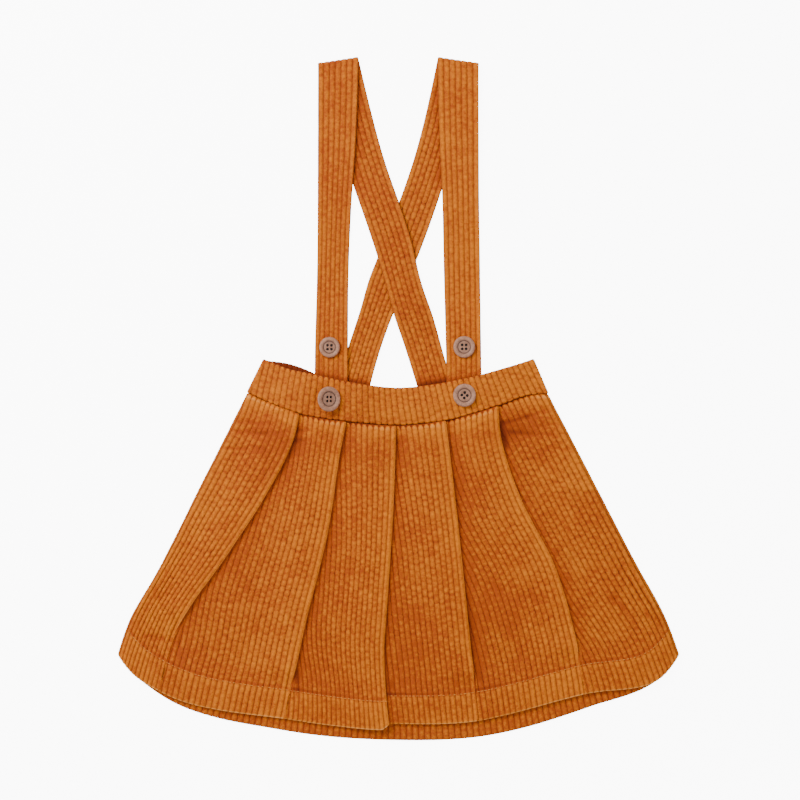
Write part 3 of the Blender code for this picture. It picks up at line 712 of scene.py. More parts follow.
def wall(name, right, wrong):
    """Closes a wall and returns its object."""
    points = [np.array(side.points) for side in (right, wrong)]
    counts = [side.shape[0] * side.shape[1] for side in points]
    above = np.arange(counts[0]).reshape(points[0].shape[:2])
    below = counts[0] + np.arange(counts[1]).reshape(points[1].shape[:2])
    faces = grid_faces(above) + grid_faces(below[:, ::-1])
    edges = ((above[0], below[0]), (below[-1], above[-1]))
    for lower, upper in edges:
        marks = [right.marks if row[0] < counts[0] else wrong.marks for row in (lower, upper)]
        faces += zipped(upper.tolist(), marks[1], lower.tolist(), marks[0])
    faces += grid_faces(np.stack([below[:, 0], above[:, 0]], axis=1))
    faces += grid_faces(np.stack([above[:, -1], below[:, -1]], axis=1))
    mesh = bpy.data.meshes.new(name)
    places = np.vstack([side.reshape(-1, 3) for side in points]) * MM
    mesh.from_pydata(places.tolist(), [], faces)
    for fact in FACTS:
        values = np.concatenate([np.ravel(side.facts[fact]) for side in (right, wrong)])
        write_fact(mesh, fact, values)
    face_outwards(mesh)
    return added(name, mesh)


def write_fact(mesh, fact, values):
    """One number for each vertex."""
    layer = mesh.attributes.new(fact, "FLOAT", "POINT")
    layer.data.foreach_set("value", values.astype(np.float32))


def face_outwards(mesh):
    work = bmesh.new()
    work.from_mesh(mesh)
    bmesh.ops.recalc_face_normals(work, faces=work.faces)
    if work.calc_volume(signed=True) < 0:
        bmesh.ops.reverse_faces(work, faces=work.faces)
    work.to_mesh(mesh)
    work.free()


print("one layer", CLOTH, "mm, two layers", DOUBLE, "mm")

# %% Finishing a piece of cloth
PIECES = {}


def keep(piece):
    """Puts a piece in the list of what has been made."""
    PIECES[piece.name] = piece
    print(piece.name, len(piece.data.loops) - 2 * len(piece.data.polygons), "triangles")


def finish_cloth(piece, finish, depth=WALE_DEPTH, block_depth=BLOCK_DEPTH,
                 unevenness=UNEVENNESS):
    """Raises the wales and keeps the piece."""
    run_tree(piece, raise_wales, {
        "Depth": depth * MM,
        "Block depth": block_depth * MM,
        "Unevenness": unevenness * MM,
        "Material": FINISHES[finish],
    })
    keep(piece)


print("ready to keep pieces:", len(PIECES), "so far")

# %% [markdown]
# ## The front panel
# One width of cloth, laid in five knife pleats that face the picture's right, pressed shut at the
# waist and opening towards the hem. Each row of the panel is one cut across it: six gores, each
# running from under the pleat on its left up onto its own pleat on the right, joined by the folds
# that lie under them. The hem is turned up once and stitched, which makes a firmer, flatter band.

# %% Lines of the panel
SIDE_LEFT = ((-136, 4), (-178, -79), (-219, -160), (-241.7, -200), (-252.5, -231))
CORNER_LEFT = ((-117, -4.5), (-160, -84), (-204, -166), (-237, -249.5))
FOLD_1 = ((-88.7, -15), (-92.5, -33), (-119, -88), (-154, -142), (-196, -205), (-214, -264))
FOLD_2 = ((-46.4, -22), (-51, -44), (-62.6, -118), (-85, -211), (-101, -288.6))
FOLD_3 = ((-2, -25.5), (-4, -90), (-9.5, -179), (-12.5, -226), (-7.7, -298))
FOLD_4 = ((42.6, -21), (52, -98), (60.5, -179), (72.5, -290))
FOLD_5 = ((89.6, -7.7), (91, -28), (110, -90.5), (139.5, -149), (158, -210), (168, -266))
CORNER_RIGHT = ((118, 1.8), (157, -75), (200, -160), (237, -250.5))
SIDE_RIGHT = ((134.6, 3), (170, -65), (212, -146), (241, -200), (252.5, -231))

# line, how much further the back's hem reaches along it
SKIRT_LINES = (
    (SIDE_LEFT, 0.0),
    (CORNER_LEFT, 0.0),
    (FOLD_1, 3.0),
    (FOLD_2, 11.0),
    (FOLD_3, 10.0),
    (FOLD_4, 15.0),
    (FOLD_5, 13.0),
    (CORNER_RIGHT, 0.0),
    (SIDE_RIGHT, 0.0),
)
PLEAT_STOPS = (2, 3, 4, 5, 6)
BACK_SEAM_UP = 1.2

# tuck at the waist, share of the length it stays shut to, share where it has opened,
# angle left in it there (degrees), step that it makes in the hem
PLEATS = (
    (14.0, 0.68, 0.835, 8.0, 0.0),
    (20.0, 0.785, 0.91, 8.0, 0.0),
    (18.0, 0.91, 1.0, 105.0, 5.0),
    (20.0, 0.785, 0.91, 8.0, 0.0),
    (18.0, 0.785, 0.91, 8.0, 0.0),
)
# for each gore, the width of a wale and how much wider it is at the waist
GORES = ((5.15, 1.0), (5.25, 1.0), (4.45, 1.17), (4.85, 1.08), (5.0, 1.04), (5.15, 1.0))
print("pleats:", len(PLEATS), "gores:", len(GORES))

# %% Sizes of folds and seams
HEM = 0.905                # share of the length where the hem is stitched
OUTER_BEND = 0.95          # radius of a pleat's upper bend, to the middle of the cloth
INNER_BEND = 1.25          # and of its lower one
SHORTEST_TUCK = 1.5
SIDE_BEND = 1.5            # radius of the turn into a side seam
UPRIGHT = 0.4              # how far the cloth stands straight up beside a seam
SIDE_ROUND = 14.0          # how far in from the side the cloth still climbs
SIDE_BLEND = (18.0, 50.0)  # from the sides' level to the middle's, this far in
LEAST_HIDDEN = 2.5         # how much of a gore always lies under the pleat on its left
HIDDEN_SQUEEZE = 4.5       # how closely its wales may be packed there
WELT = 42.0                # how wide the swelling is that leads up to a fold
STEP_REACH = 80.0          # how far a step in the hem takes to run out
PRESSED = 8.0              # how wide the pressed strip beside a fold is
SEAM_HEIGHT = 2.7          # of the side seams over the floor
SEAM_GAP = 0.3
RISE = 0.6                 # of the crests over the cloth
EDGE_INSET = CLOTH / 2 + RISE
LEVEL_REACH = 0.025        # how far the corners of the next table are rounded off

# share of the length, height of the middle of the cloth along the centre and at the sides,
# how far the pleats press it down
FRONT_LEVELS = (
    (0.00, 6.6, 5.0, 0.9),
    (0.05, 6.5, 5.1, 0.9),
    (0.20, 3.8, 5.2, 0.2),
    (0.54, 3.2, 5.5, 0.0),
    (0.835, 3.8, 5.5, 0.0),
    (0.885, 5.6, 6.0, 0.0),
    (0.91, 6.7, 6.8, 0.0),
    (1.00, 6.7, 6.8, 0.0),
)
front_lines = [Path(line, 16) for line, _ in SKIRT_LINES]
print("length along each line:", [round(line.length) for line in front_lines])

# %% [markdown]
# ### Creases and pressed places
# What makes the cloth look used is placed one by one from the photograph, as soft ridges and
# troughs between two points, and as patches that are more rust or more gold than the rest.

# %% Creases and patches
# from x, y to x, y, half width, height
CREASES = (
    (195, -180, 214, -205, 4.0, -0.9),
    (152, -79, 178, -81, 3.0, 0.7),
    (-205, -204, -212, -229, 3.0, 0.8),
    (-196, -212, -197, -236, 2.5, -0.6),
    (-99, -238, -103, -262, 2.5, 0.7),
    (-92, -246, -90, -266, 2.5, -0.6),
    (66, -236, 70, -258, 2.5, 0.7),
    (160, -212, 163, -236, 3.0, 0.7),
    (-170, -118, -150, -108, 5.0, -0.5),
    (-60, -150, -20, -158, 6.0, -0.4),
    (10, -120, 48, -112, 6.0, -0.4),
    (84, -170, 120, -182, 6.0, -0.5),
    (-140, -190, -104, -196, 7.0, 0.5),
    (20, -215, 58, -222, 6.0, 0.4),
    (-120, -16, -92, -14, 1.7, -0.7),
    (-151, -30, -118, -32, 2.0, -1.0),
    (-111, -31.5, -82, -29, 1.8, -0.6),
    (93, -23, 116, -17, 1.8, -0.9),
    (116, -17, 134, -11, 1.7, -0.8),
    (128, -25, 143, -23, 1.7, -0.7),
    (92, -24, 97, -44, 2.4, -0.9),
    (-226, -214, -197, -219, 2.6, -0.9),
    (-3, -40, 14, -39, 1.8, -0.4),
    (-232, -196, -206, -152, 1.6, -0.8),
    (-236, -206, -216, -176, 1.4, -0.6),
    (236, -206, 208, -150, 1.6, -0.7),
    (228, -206, 200, -146, 1.6, -0.6),
    (240, -216, 222, -190, 1.5, -0.6),
    (-143, -21, -112, -24, 1.6, -0.8),
    (-158, -46, -120, -46, 2.0, -0.8),
    (-104, -40, -80, -37, 1.7, -0.6),
    (100, -31, 140, -34, 1.8, -0.7),
    (128, -44, 154, -46, 1.8, -0.6),
)
CREASE_SHADE = 0.9         # how much painted shade a trough gets and painted highlight a ridge, for each millimetre
# x, y, radius, tint
PATCHES = (
    (-190, -110, 55, 0.45),
    (-215, -215, 40, 0.35),
    (-115, -48, 26, -0.55),
    (-125, -170, 45, -0.15),
    (-70, -70, 22, 0.15),
    (-30, -95, 26, 0.20),
    (-45, -230, 40, -0.10),
    (25, -70, 26, 0.10),
    (30, -225, 38, -0.60),
    (60, -40, 28, 0.20),
    (64, -82, 24, -0.35),
    (100, -190, 40, -0.45),
    (112, -30, 24, -0.70),
    (160, -55, 22, 0.45),
    (178, -92, 14, -0.45),
    (150, -120, 40, 0.10),
    (60, -150, 30, 0.15),
    (205, -200, 45, 0.15),
    (170, -245, 40, -0.10),
)


def relief(x, y):
    """Height that the creases add."""
    total = np.zeros_like(x)
    for x0, y0, x1, y1, width, height in CREASES:
        along = np.array([x1 - x0, y1 - y0], float)
        share = ((x - x0) * along[0] + (y - y0) * along[1]) / (along @ along)
        near = np.clip(share, 0, 1)
        away = np.hypot(x - x0 - near * along[0], y - y0 - near * along[1])
        total += height * bell(away, width)
    return total


def patch_tint(x, y):
    total = np.zeros_like(x)
    for x0, y0, radius, tint in PATCHES:
        total += tint * bell(np.hypot(x - x0, y - y0), radius)
    return total


print("creases:", len(CREASES), "patches:", len(PATCHES))

# %% [markdown]
# ### One cut across the panel
# A row works out, from left to right, where each gore's cloth lies: how far along the cut and how
# high. A gore keeps the same number of wales from waist to hem. Where it is narrower, its wales
# run on out of sight under the pleat to its left.

# %% Folds and bends
SKIRT_LENGTH = 280.0       # from waist seam to hem along the middle
EDGE_ROUND = 1.8           # radius of the hem's fold and of the cloth's turn into the waist seam
LEAST_FULL = 0.12          # share of its thickness that the cloth has left at those edges
SEAM_TURN = 0.4            # how far the panel runs on above the waist seam
TUCK_LOSS = 0.4            # how much of a shut fold's middle layer its open bend takes up
CREASE_END = 0.06          # share of the length in which a fold's edge fades out
WELT_STOP = 3.0            # how far short of the fold its swelling ends
WELT_START = 2.0           # and how far clear of the last fold it may start


def pleat_shape(pleat, share):
    """The angle that a pleat turns through at this share of the length, and how wide the layer
    in the middle of its fold is."""
    tuck, shut_to, open_from, last_turn, _ = pleat
    if share <= shut_to:
        return math.pi, SHORTEST_TUCK + (tuck - SHORTEST_TUCK) * (1 - max(share, 0.0) / shut_to)
    opened = float(blend((share - shut_to) / (open_from - shut_to)))
    turn = math.pi - opened * (math.pi - math.radians(last_turn))
    return turn, SHORTEST_TUCK * (1 - TUCK_LOSS * opened)


def bend_at_side(level, count=6):
    """Distances in from the side and heights, from the side seam up round the bend."""
    seam = SEAM_HEIGHT + SEAM_GAP / 2
    start = seam + UPRIGHT
    slope = 2 * max(level - start - SIDE_BEND, 0.2) / SIDE_ROUND
    angle = (math.pi / 2 - math.atan(slope)) * np.arange(count + 1) / count
    bend = np.stack([SIDE_BEND * (1 - np.cos(angle)), start + SIDE_BEND * np.sin(angle)], axis=1)
    return np.vstack([[(0.0, seam)], bend])


print("turned at the waist:", [round(math.degrees(pleat_shape(row, 0)[0])) for row in PLEATS])

# %% A cut and its folds


class Cut:
    """One cut across the front panel, at a share of its length from the waist seam to the hem."""

    def __init__(self, share):
        self.share = share
        self.plan = Path([line.at(share * line.length) for line in front_lines], 16)
        self.folds = [self.plan.stops[i] for i in PLEAT_STOPS]
        self.shapes = [pleat_shape(pleat, share) for pleat in PLEATS]
        self.from_seam = share * SKIRT_LENGTH
        self.from_hem = (1 - share) * SKIRT_LENGTH
        nearest_edge = min(self.from_seam + SEAM_TURN, self.from_hem)
        self.full = float(max(rounded(nearest_edge, EDGE_ROUND), LEAST_FULL))

    def from_side(self, along):
        return np.minimum(along, self.plan.length - along)

    def standing(self):
        """How high the wales may stand: lower where the cloth turns in at its ends."""
        return 0.4 + 0.6 * self.full

    def shut(self, k):
        return self.shapes[k][0] / math.pi if 0 <= k < len(PLEATS) else 0.0

    def creased(self, k):
        """How plainly pleat k's fold shows: as an edge, until just above where it has opened."""
        open_from = PLEATS[k][2] if 0 <= k < len(PLEATS) else 0.0
        if open_from >= 1:
            return 1.0
        return float(1 - blend((self.share - open_from + CREASE_END) / CREASE_END))

    def fold_start(self, k):
        return self.folds[k] - EDGE_INSET - OUTER_BEND

    def fold_end(self, k):
        turn, middle = self.shapes[k]
        bends = (OUTER_BEND + INNER_BEND) * math.sin(turn)
        return self.fold_start(k) + bends + middle * math.cos(turn)

    def fold_height(self, k):
        turn, middle = self.shapes[k]
        return (OUTER_BEND + INNER_BEND) * (1 - math.cos(turn)) + middle * math.sin(turn)


print("the middle fold lies", round(Cut(0.5).folds[2]), "mm along the cut halfway down")

# %% How high the cloth lies along a cut


class RaisedCut(Cut):
    """A cut that knows its heights."""

    def __init__(self, share):
        super().__init__(share)
        self.middle, self.sides, self.dip = (
            soft_column(FRONT_LEVELS, share, wanted, LEVEL_REACH) for wanted in (1, 2, 3))

    def level(self, k, along):
        """Height of the cloth's middle in gore k."""
        inwards = blend((self.from_side(along) - SIDE_BLEND[0]) / (SIDE_BLEND[1] - SIDE_BLEND[0]))
        height = self.sides + (self.middle - self.sides) * inwards
        if k > 0:
            height = height - self.dip * (1 - blend((along - self.folds[k - 1]) / PRESSED))
        if k < len(PLEATS):
            height = height + self.welt(k, along)
        edge = SEAM_HEIGHT + SEAM_GAP / 2 + UPRIGHT + SIDE_BEND
        side = self.from_side(along) - EDGE_INSET
        share = np.clip((side - SIDE_BEND) / (SIDE_ROUND - SIDE_BEND), 0, 1)
        climbing = edge + (height - edge) * (1 - (1 - share) ** 2)
        return np.where(side < SIDE_ROUND, climbing, height)

    def welt(self, k, along):
        """How far gore k has climbed onto its own pleat."""
        turn, middle = self.shapes[k]
        welt_end = self.fold_start(k) - max(-middle * math.cos(turn), 0) - WELT_STOP
        free_from = self.folds[k - 1] + WELT_START if k else SIDE_ROUND
        welt_start = max(welt_end - WELT, free_from)
        climb = self.fold_height(k) - self.dip
        return climb * blend((along - welt_start) / (welt_end - welt_start))


print("halfway down, the middle lies", round(float(RaisedCut(0.5).middle), 2), "mm up")

# %% The gores of a cut
FEWEST_STEPS = 12          # along a gore, where it is narrow
WIDER_TO = 0.45            # share of the length down to which the wales are wider
LEAST_PACKED = 0.3         # share of the hidden strip that always holds cloth


class GoreCut(RaisedCut):
    """A cut with the path of each gore worked out."""

    def __init__(self, share):
        super().__init__(share)
        self.gores = [self.gore(k) for k in range(len(PLEATS) + 1)]

    def gore(self, k):
        """The path of one gore's middle surface, from left to right: distance along, height."""
        left, right = EDGE_INSET, self.plan.length - EDGE_INSET
        first, last = k == 0, k == len(PLEATS)
        start = left + SIDE_BEND if first else self.fold_end(k - 1)
        end = right - SIDE_BEND if last else self.fold_start(k)
        places = np.linspace(start, end, max(FEWEST_STEPS, round(end - start)))
        points = np.stack([places, self.level(k, places)], axis=1)
        if first:
            bend = bend_at_side(float(self.level(k, left + SIDE_ROUND)))[:-1]
            points = np.vstack([bend + (left, 0), points[1:]])
        if last:
            bend = bend_at_side(float(self.level(k, right - SIDE_ROUND)))[:-1]
            points = np.vstack([points[:-1], (bend * (-1, 1) + (right, 0))[::-1]])
        return Path(points)

    def hidden(self, k):
        """How much of gore k lies out of sight under the pleat on its left."""
        tucked = self.folds[k - 1] - self.fold_end(k - 1) if k else 0.0
        return max(tucked, LEAST_HIDDEN)

    def too_wide(self, k):
        """By how much a gore is too wide for what shows of it and what can be hidden."""
        hidden = self.hidden(k)
        room = (1 + (HIDDEN_SQUEEZE - 1) * self.shut(k - 1)) * hidden if k else hidden
        return max(0.0, gore_widths[k] - (self.gores[k].length - hidden) - room)

    def from_right_end(self, k, marks, drawn_in):
        """Where marks of the flat gore lie on its path, and how closely they are packed there."""
        hidden = self.hidden(k)
        shown = self.gores[k].length - hidden
        width = gore_widths[k]
        wider = 1 + (GORES[k][1] - 1) * (1 - blend(self.share / WIDER_TO))
        visible = min((shown + drawn_in) / wider, width - LEAST_PACKED * hidden)
        packed = (width - visible) / hidden
        seen = marks * shown / visible
        unseen = self.gores[k].length - (width - marks) / packed
        return np.where(marks <= visible, seen, unseen), np.where(marks <= visible, 1.0, packed)


print("gores halfway down:", [round(path.length) for path in GoreCut(0.5).gores], "mm wide")

# %% From the middle of the cloth to its two sides
RIDGE_DEPTH = 12.5         # how far down the waist seam's bulk reaches
RIDGE_RISE = 0.36          # how high it stands
RIDGE_HOLLOW = 0.2         # how deep the cloth dips just below that ridge
ROUND_CORNER = 2           # the gore whose lower right corner is round: it ends at the middle pleat
CORNER_WIDTH = 10.0        # how much of the hem is rounded off
CORNER_RISE = 4.6          # how far up the corner is moved
CORNER_FADE = 16.0         # how far above the hem that has faded out
STEP_FROM = 0.6            # share of the length from which the steps in the hem build up
TURN_UP_OVER = 0.02        # share of the length in which the turned-up hem gains its thickness
TURN_UP_IN = 6.0           # and how far in from the side it starts, and takes to do so


class FrontRow(GoreCut):
    """A cut that places the points of the wall."""

    def wrong_reach(self, along):
        """From the middle surface to the wrong side: thicker where the hem is turned up."""
        turned_up = blend((self.share - HEM + TURN_UP_OVER) / TURN_UP_OVER)
        inwards = blend((self.from_side(along) - TURN_UP_IN) / TURN_UP_IN)
        return CLOTH / 2 + CLOTH * (turned_up * inwards)

    def place(self, k, along, height, normal, right_side):
        """Points of the right or the wrong side over the middle surface."""
        reach = (CLOTH / 2 + RISE) if right_side else -self.wrong_reach(along)
        reach = reach * self.full
        spot = self.plan.at(along + normal[:, 0] * reach)
        x, y = spot[:, 0], spot[:, 1]
        if k > 0:
            step = PLEATS[k - 1][4] * float(blend((self.share - STEP_FROM) / (1 - STEP_FROM)))
            y = y + step * (1 - blend((along - self.folds[k - 1]) / STEP_REACH))
        if k == ROUND_CORNER:
            at_fold = blend((along - self.folds[k] + CORNER_WIDTH) / CORNER_WIDTH) ** 2
            y = y + CORNER_RISE * at_fold * (1 - blend(self.from_hem / CORNER_FADE))
        z = height + normal[:, 1] * reach + self.pressed_seam() + relief(x, y)
        return np.stack([x, y, z], axis=1)

    def pressed_seam(self):
        """The bulk of the waist seam stands up as a ridge, with a hollow below it."""
        ridge = blend(self.from_seam / 2) * (1 - blend((self.from_seam - RIDGE_DEPTH + 2) / 3))
        hollow = bell(self.from_seam - RIDGE_DEPTH - 2, 2.0)
        return RIDGE_RISE * ridge - RIDGE_HOLLOW * hollow


print("the hem's corner is rounded over", CORNER_WIDTH, "mm")

# %% All the cuts, and how they share their wales
FRONT_SHARES = np.concatenate((
    np.array([-SEAM_TURN, -0.15, 0.2, 0.6, 1.2, 2.0]) / SKIRT_LENGTH,
    np.linspace(3.0, SKIRT_LENGTH - 4.0, 132) / SKIRT_LENGTH,
    1 - np.array([2.6, 1.8, 1.1, 0.6, 0.25, 0.0]) / SKIRT_LENGTH,
))
EVENED_ROWS = 22           # over how many rows to either side a gore's drawing in is evened out
front_rows = [FrontRow(share) for share in FRONT_SHARES]
gore_widths = [max(row.gores[k].length for row in front_rows) for k in range(len(PLEATS) + 1)]


def spread(values, reach):
    """Evens out a list of numbers over this many neighbours to either side."""
    padded = np.pad(values, reach, mode="edge")
    weights = np.hanning(2 * reach + 3)[1:-1]
    return np.convolve(padded, weights / weights.sum(), mode="valid")


DRAWN_IN = [spread([row.too_wide(k) for row in front_rows], EVENED_ROWS)
            for k in range(len(gore_widths))]
print("rows:", len(front_rows), "widths of the gores:", [round(width) for width in gore_widths])

# %% [markdown]
# ### From cuts to the panel
# The right side follows each gore with five points to a wale, then goes round the fold. Along a
# shut fold the cloth is stretched smooth, with a painted highlight; just right of it lies the
# painted shade that the fold throws. Below the stitching, the hem is pressed flat and keeps its
# wales straight.

# %% Where a gore's nap is lighter or darker
LIGHT_FOLD = 5.0           # width of the painted highlight along a fold
SHADE = 9.0                # width of the painted shade beside it
HEM_LINE = (1 - HEM) * SKIRT_LENGTH
# how much lighter each gore's right end is than its left
ACROSS_SHADE = (0.0, 0.8, 0.7, 0.6, 0.9, 0.3)
# painted highlight: fold, hem's edge, under stitches, ridge, wale tips painted shade: beside fold,
# over stitches, under ridge, arches
# place, how much lighter the nap is there
NAP_TINTS = (
    ("fold", 0.3),
    ("beside fold", -0.7),
    ("hem", 0.02),
    ("across", 1.0),
    ("above hem", -0.4),
    ("hem's edge", 2.4),
    ("over stitches", -1.1),
    ("under stitches", 0.6),
    ("ridge", 0.45),
    ("under ridge", -0.45),
    ("side", 0.35),
    ("wale tips", 0.8),
    ("arches", -2.2),
)


# place, what it is measured from, how far down or up from there it is, how wide it is
NAP_STRIPS = (
    ("above hem", "stitches", 11.0, 8.0),
    ("over stitches", "stitches", 1.9, 1.7),
    ("under stitches", "stitches", -2.2, 1.6),
    ("under ridge", "ridge", 13.0, 9.0),
    ("hem's edge", "hem", 0.0, 1.3),
    ("wale tips", "seam", 2.4, 2.4),
)


def plain_seam(x):
    """How dark the painted shade along the waist seam is: less towards the sides, and least on the
    left.
    """
    return 1 - 0.75 * blend((-70 - x) / 30) - 0.45 * blend((x - 80) / 30)


def gore_places(row, k, distance, along, off_crest, x):
    """How far each point of a gore belongs to each place in the table."""
    left_end = row.folds[k - 1] if k else 0.0
    right_end = row.folds[k] if k < len(PLEATS) else row.plan.length
    across = np.clip((along - left_end) / (right_end - left_end), 0, 1)
    ruler = {
        "hem": row.from_hem,
        "stitches": row.from_hem - HEM_LINE,
        "seam": row.from_seam,
        "ridge": row.from_seam - RIDGE_DEPTH,
    }
    strips = {name: bell(ruler[start] - away, wide) for name, start, away, wide in NAP_STRIPS}
    fold = bell(distance, LIGHT_FOLD) * row.creased(k)
    arches = blend(3.2 * off_crest ** 2 + 0.6 - row.from_seam) * plain_seam(x)
    strips["hem's edge"] = strips["hem's edge"] * (1 - 0.5 * off_crest ** 2)
    strips["wale tips"] = strips["wale tips"] * (1 - arches) * (1 - fold)
    return {
        **strips,
        "fold": fold,
        "beside fold": bell(along - left_end, SHADE) * row.creased(k - 1) if k else 0.0,
        "across": ACROSS_SHADE[k] * (across - 0.5),
        "hem": blend(-ruler["stitches"] / 3),
        "ridge": blend(-ruler["ridge"] / 3),
        "side": bell(row.from_side(along), 9.0),
        "arches": arches,
    }


print("places with a shade of their own:", [name for name, _ in NAP_TINTS])

# %% What each point of a gore carries
SEAM_CRUSH = 0.55          # how crushed the wales are beside the waist seam, against 1 below it
LOW_FROM = 0.55            # from this share of the length on, the wales stand higher and rounder
LOW_OVER = 0.3
SIDE_SQUEEZE = (26.0, 0.66, 0.22)              # where the sides draw the wales together: how far
                                               # in, at which share of the length, over which


def gore_facts(row, k, distance, along, marks, x, y):
    wale = 0.5 + marks / GORES[k][0]
    off_crest = np.abs(wale % 1.0 * 2.0 - 1.0)
    places = gore_places(row, k, distance, along, off_crest, x)
    tint = patch_tint(x, y)
    for name, amount in NAP_TINTS:
        tint = tint + amount * places[name]
    low = blend((row.share - LOW_FROM) / LOW_OVER)
    crush = (1 - 0.6 * places["fold"]) * (1 - 0.5 * places["side"])
    crush = crush * (SEAM_CRUSH + (1 - SEAM_CRUSH) * blend((row.from_seam - 15) / 40))
    inwards, lowest, over = SIDE_SQUEEZE
    squeezed = bell(row.from_side(along), inwards) * bell(row.share - lowest, over)
    return {
        "wale": 100.0 * k + wale,
        "run": row.share * SKIRT_LENGTH + 31.0 * k,
        "stand": row.standing() * (1 + 0.5 * squeezed) * (1 + 0.2 * low),
        "crush": crush * (1 - 0.3 * low - 0.35 * places["hem"]),
        "tint": tint + CREASE_SHADE * relief(x, y),
    }


print("halfway down, the wales stand at", FrontRow(0.5).standing(), "of their height")

# %% Points of a gore and of a fold
FOLD_PARTS = (6, 3)        # steps round a fold's upper and lower bend, on the right side
FOLD_HIGHLIGHT = 1.5          # painted highlight on top of a fold
FOLD_SHADE = 1.6            # and the painted shade inside it


def gore_points(row, k, marks, right_side):
    path = row.gores[k]
    distance, packed = row.from_right_end(k, marks, DRAWN_IN[k][front_rows.index(row)])
    spot = path.at(path.length - distance)
    normal = path.normal(path.length - distance)
    points = row.place(k, spot[:, 0], spot[:, 1], normal, right_side)
    facts = gore_facts(row, k, distance, spot[:, 0], marks, points[:, 0], points[:, 1])
    facts["stand"] = facts["stand"] * (1 - blend((packed - 1.5) / 1.5))
    if not right_side:
        facts.update(stand=0.0, tint=-0.5)
    return points, facts


def fold_points(row, k, parts, right_side):
    """The fold from gore k down to gore k + 1, without the gores' own ends."""
    turn, _ = row.shapes[k]
    round_share = np.arange(1, parts[0] + 1) / parts[0]
    outer = turn * np.arange(1, parts[0] + 1) / parts[0]
    inner = turn * np.arange(parts[1], 0, -1) / parts[1]
    upper_bend = OUTER_BEND * np.stack([np.sin(outer), np.cos(outer) - 1], axis=1)
    lower_bend = INNER_BEND * np.stack([-np.sin(inner), 1 - np.cos(inner)], axis=1)
    placed = []
    for gore, spot, angle in ((k, row.gores[k].inner[-1] + upper_bend, outer),
                              (k + 1, row.gores[k + 1].inner[0] + lower_bend, inner)):
        normal = np.stack([np.sin(angle), np.cos(angle)], axis=1)
        placed.append(row.place(gore, spot[:, 0], spot[:, 1], normal, right_side))
    points = np.vstack(placed)
    last_wale = 100.0 * (k + 1) + 0.5 + gore_widths[k + 1] / GORES[k + 1][0]
    unfolding = (1 - row.shut(k)) * np.arange(parts[1]) / parts[1]
    # painted highlight over the top of the fold, painted shade down its far side and inside
    fold_highlight = FOLD_HIGHLIGHT * bell(round_share - 0.36, 0.17)
    light = np.concatenate([fold_highlight - FOLD_SHADE * blend((round_share - 0.5) / 0.3),
                            np.full(parts[1], -FOLD_SHADE)]) * row.creased(k)
    stand = np.concatenate([1 - round_share, unfolding])
    return points, {
        "wale": np.concatenate([100.0 * k + 0.5 - 0.5 * round_share, np.full(parts[1], last_wale)]),
        "run": row.share * SKIRT_LENGTH,
        "stand": stand * row.standing() if right_side else 0.0,
        "crush": 0.3,
        "tint": light + patch_tint(points[:, 0], points[:, 1]),
    }


print("steps round a fold:", sum(FOLD_PARTS))

# %% Sides of the front panel
PLAIN_FOLD_PARTS = (2, 2)  # the same steps on the wrong side
PLAIN_SPACING = 16.0       # between the wrong side's columns
GORE_MARK = 1000.0         # each gore's marks start this much after those of the one before


def gore_marks(k, right_side):
    """The places of a gore's columns on the flat cloth, from left to right."""
    if right_side:
        return dense_marks(gore_widths[k], GORES[k][0], GORES[k][0] / 2)[::-1]
    return np.linspace(0, gore_widths[k], round(gore_widths[k] / PLAIN_SPACING) + 1)[::-1]


def front_side(right_side):
    parts = FOLD_PARTS if right_side else PLAIN_FOLD_PARTS
    marks = [gore_marks(k, right_side) for k in range(len(gore_widths))]
    made_marks = []
    for k, width in enumerate(gore_widths):
        made_marks.append(GORE_MARK * k + width - marks[k])
        if k < len(PLEATS):
            made_marks.append(GORE_MARK * k + width + np.linspace(1, 9, sum(parts)))
    side = Side(np.concatenate(made_marks))
    for row in front_rows:
        made = []
        for k in range(len(gore_widths)):
            made.append(gore_points(row, k, marks[k], right_side))
            if k < len(PLEATS):
                made.append(fold_points(row, k, parts, right_side))
        facts = {}
        for name in FACTS:
            values = [np.broadcast_to(part[name], len(points)) for points, part in made]
            facts[name] = np.concatenate(values)
        side.add(np.vstack([points for points, _ in made]), **facts)
    return side


front = wall("front_skirt_cloth", front_side(True), front_side(False))
finish_cloth(front, "skirt")

# %% [markdown]
# ## The back panel
# The back lies with its right side on the floor, turned up at the side seams to meet the front. Its
# hem reaches a little lower than the front's, so the turned-up strip shows below it, ribbed and
# darker. Its wales draw together towards the waist.

# %% Lines and turned-up edges of the back panel
HEM_EDGE = 0.99
# share of the length, height of the upper face over the middle of the cloth, in layers
BACK_TOP = ((0.0, 0.5), (HEM - 0.012, 0.5), (HEM, 1.5), (HEM_EDGE, 1.5), (1.0, 1.3))


def quarter_bend(inset, height, radius, upwards, count=6):
    """A quarter turn from upright to level: distances in from the side, and heights."""
    angle = math.pi / 2 * np.arange(count + 1) / count
    inwards = inset + radius * (1 - np.cos(angle))
    return np.stack([inwards, height + upwards * radius * np.sin(angle)], axis=1)


def back_line(line, extra):
    start, after, before, end = (np.array(line[i], float) for i in (0, 1, -2, -1))
    top = start + BACK_SEAM_UP * (start - after) / np.linalg.norm(start - after)
    hem = end + extra * (end - before) / np.linalg.norm(end - before)
    return Path((tuple(top), *line[1:-1], tuple(hem)), 16)


def rimmed(rim, middle, length):
    """A path from one side's bend, by way of the middle, to the other side's."""
    far = (rim * (-1, 1) + (length, 0))[::-1]
    return Path(np.vstack([rim, middle, far]))


back_lines = [back_line(line, extra) for line, extra in SKIRT_LINES]
BACK_WIDTH = Path([line.at(line.length) for line in back_lines], 16).length
print("the back's hem is", round(BACK_WIDTH), "mm wide")

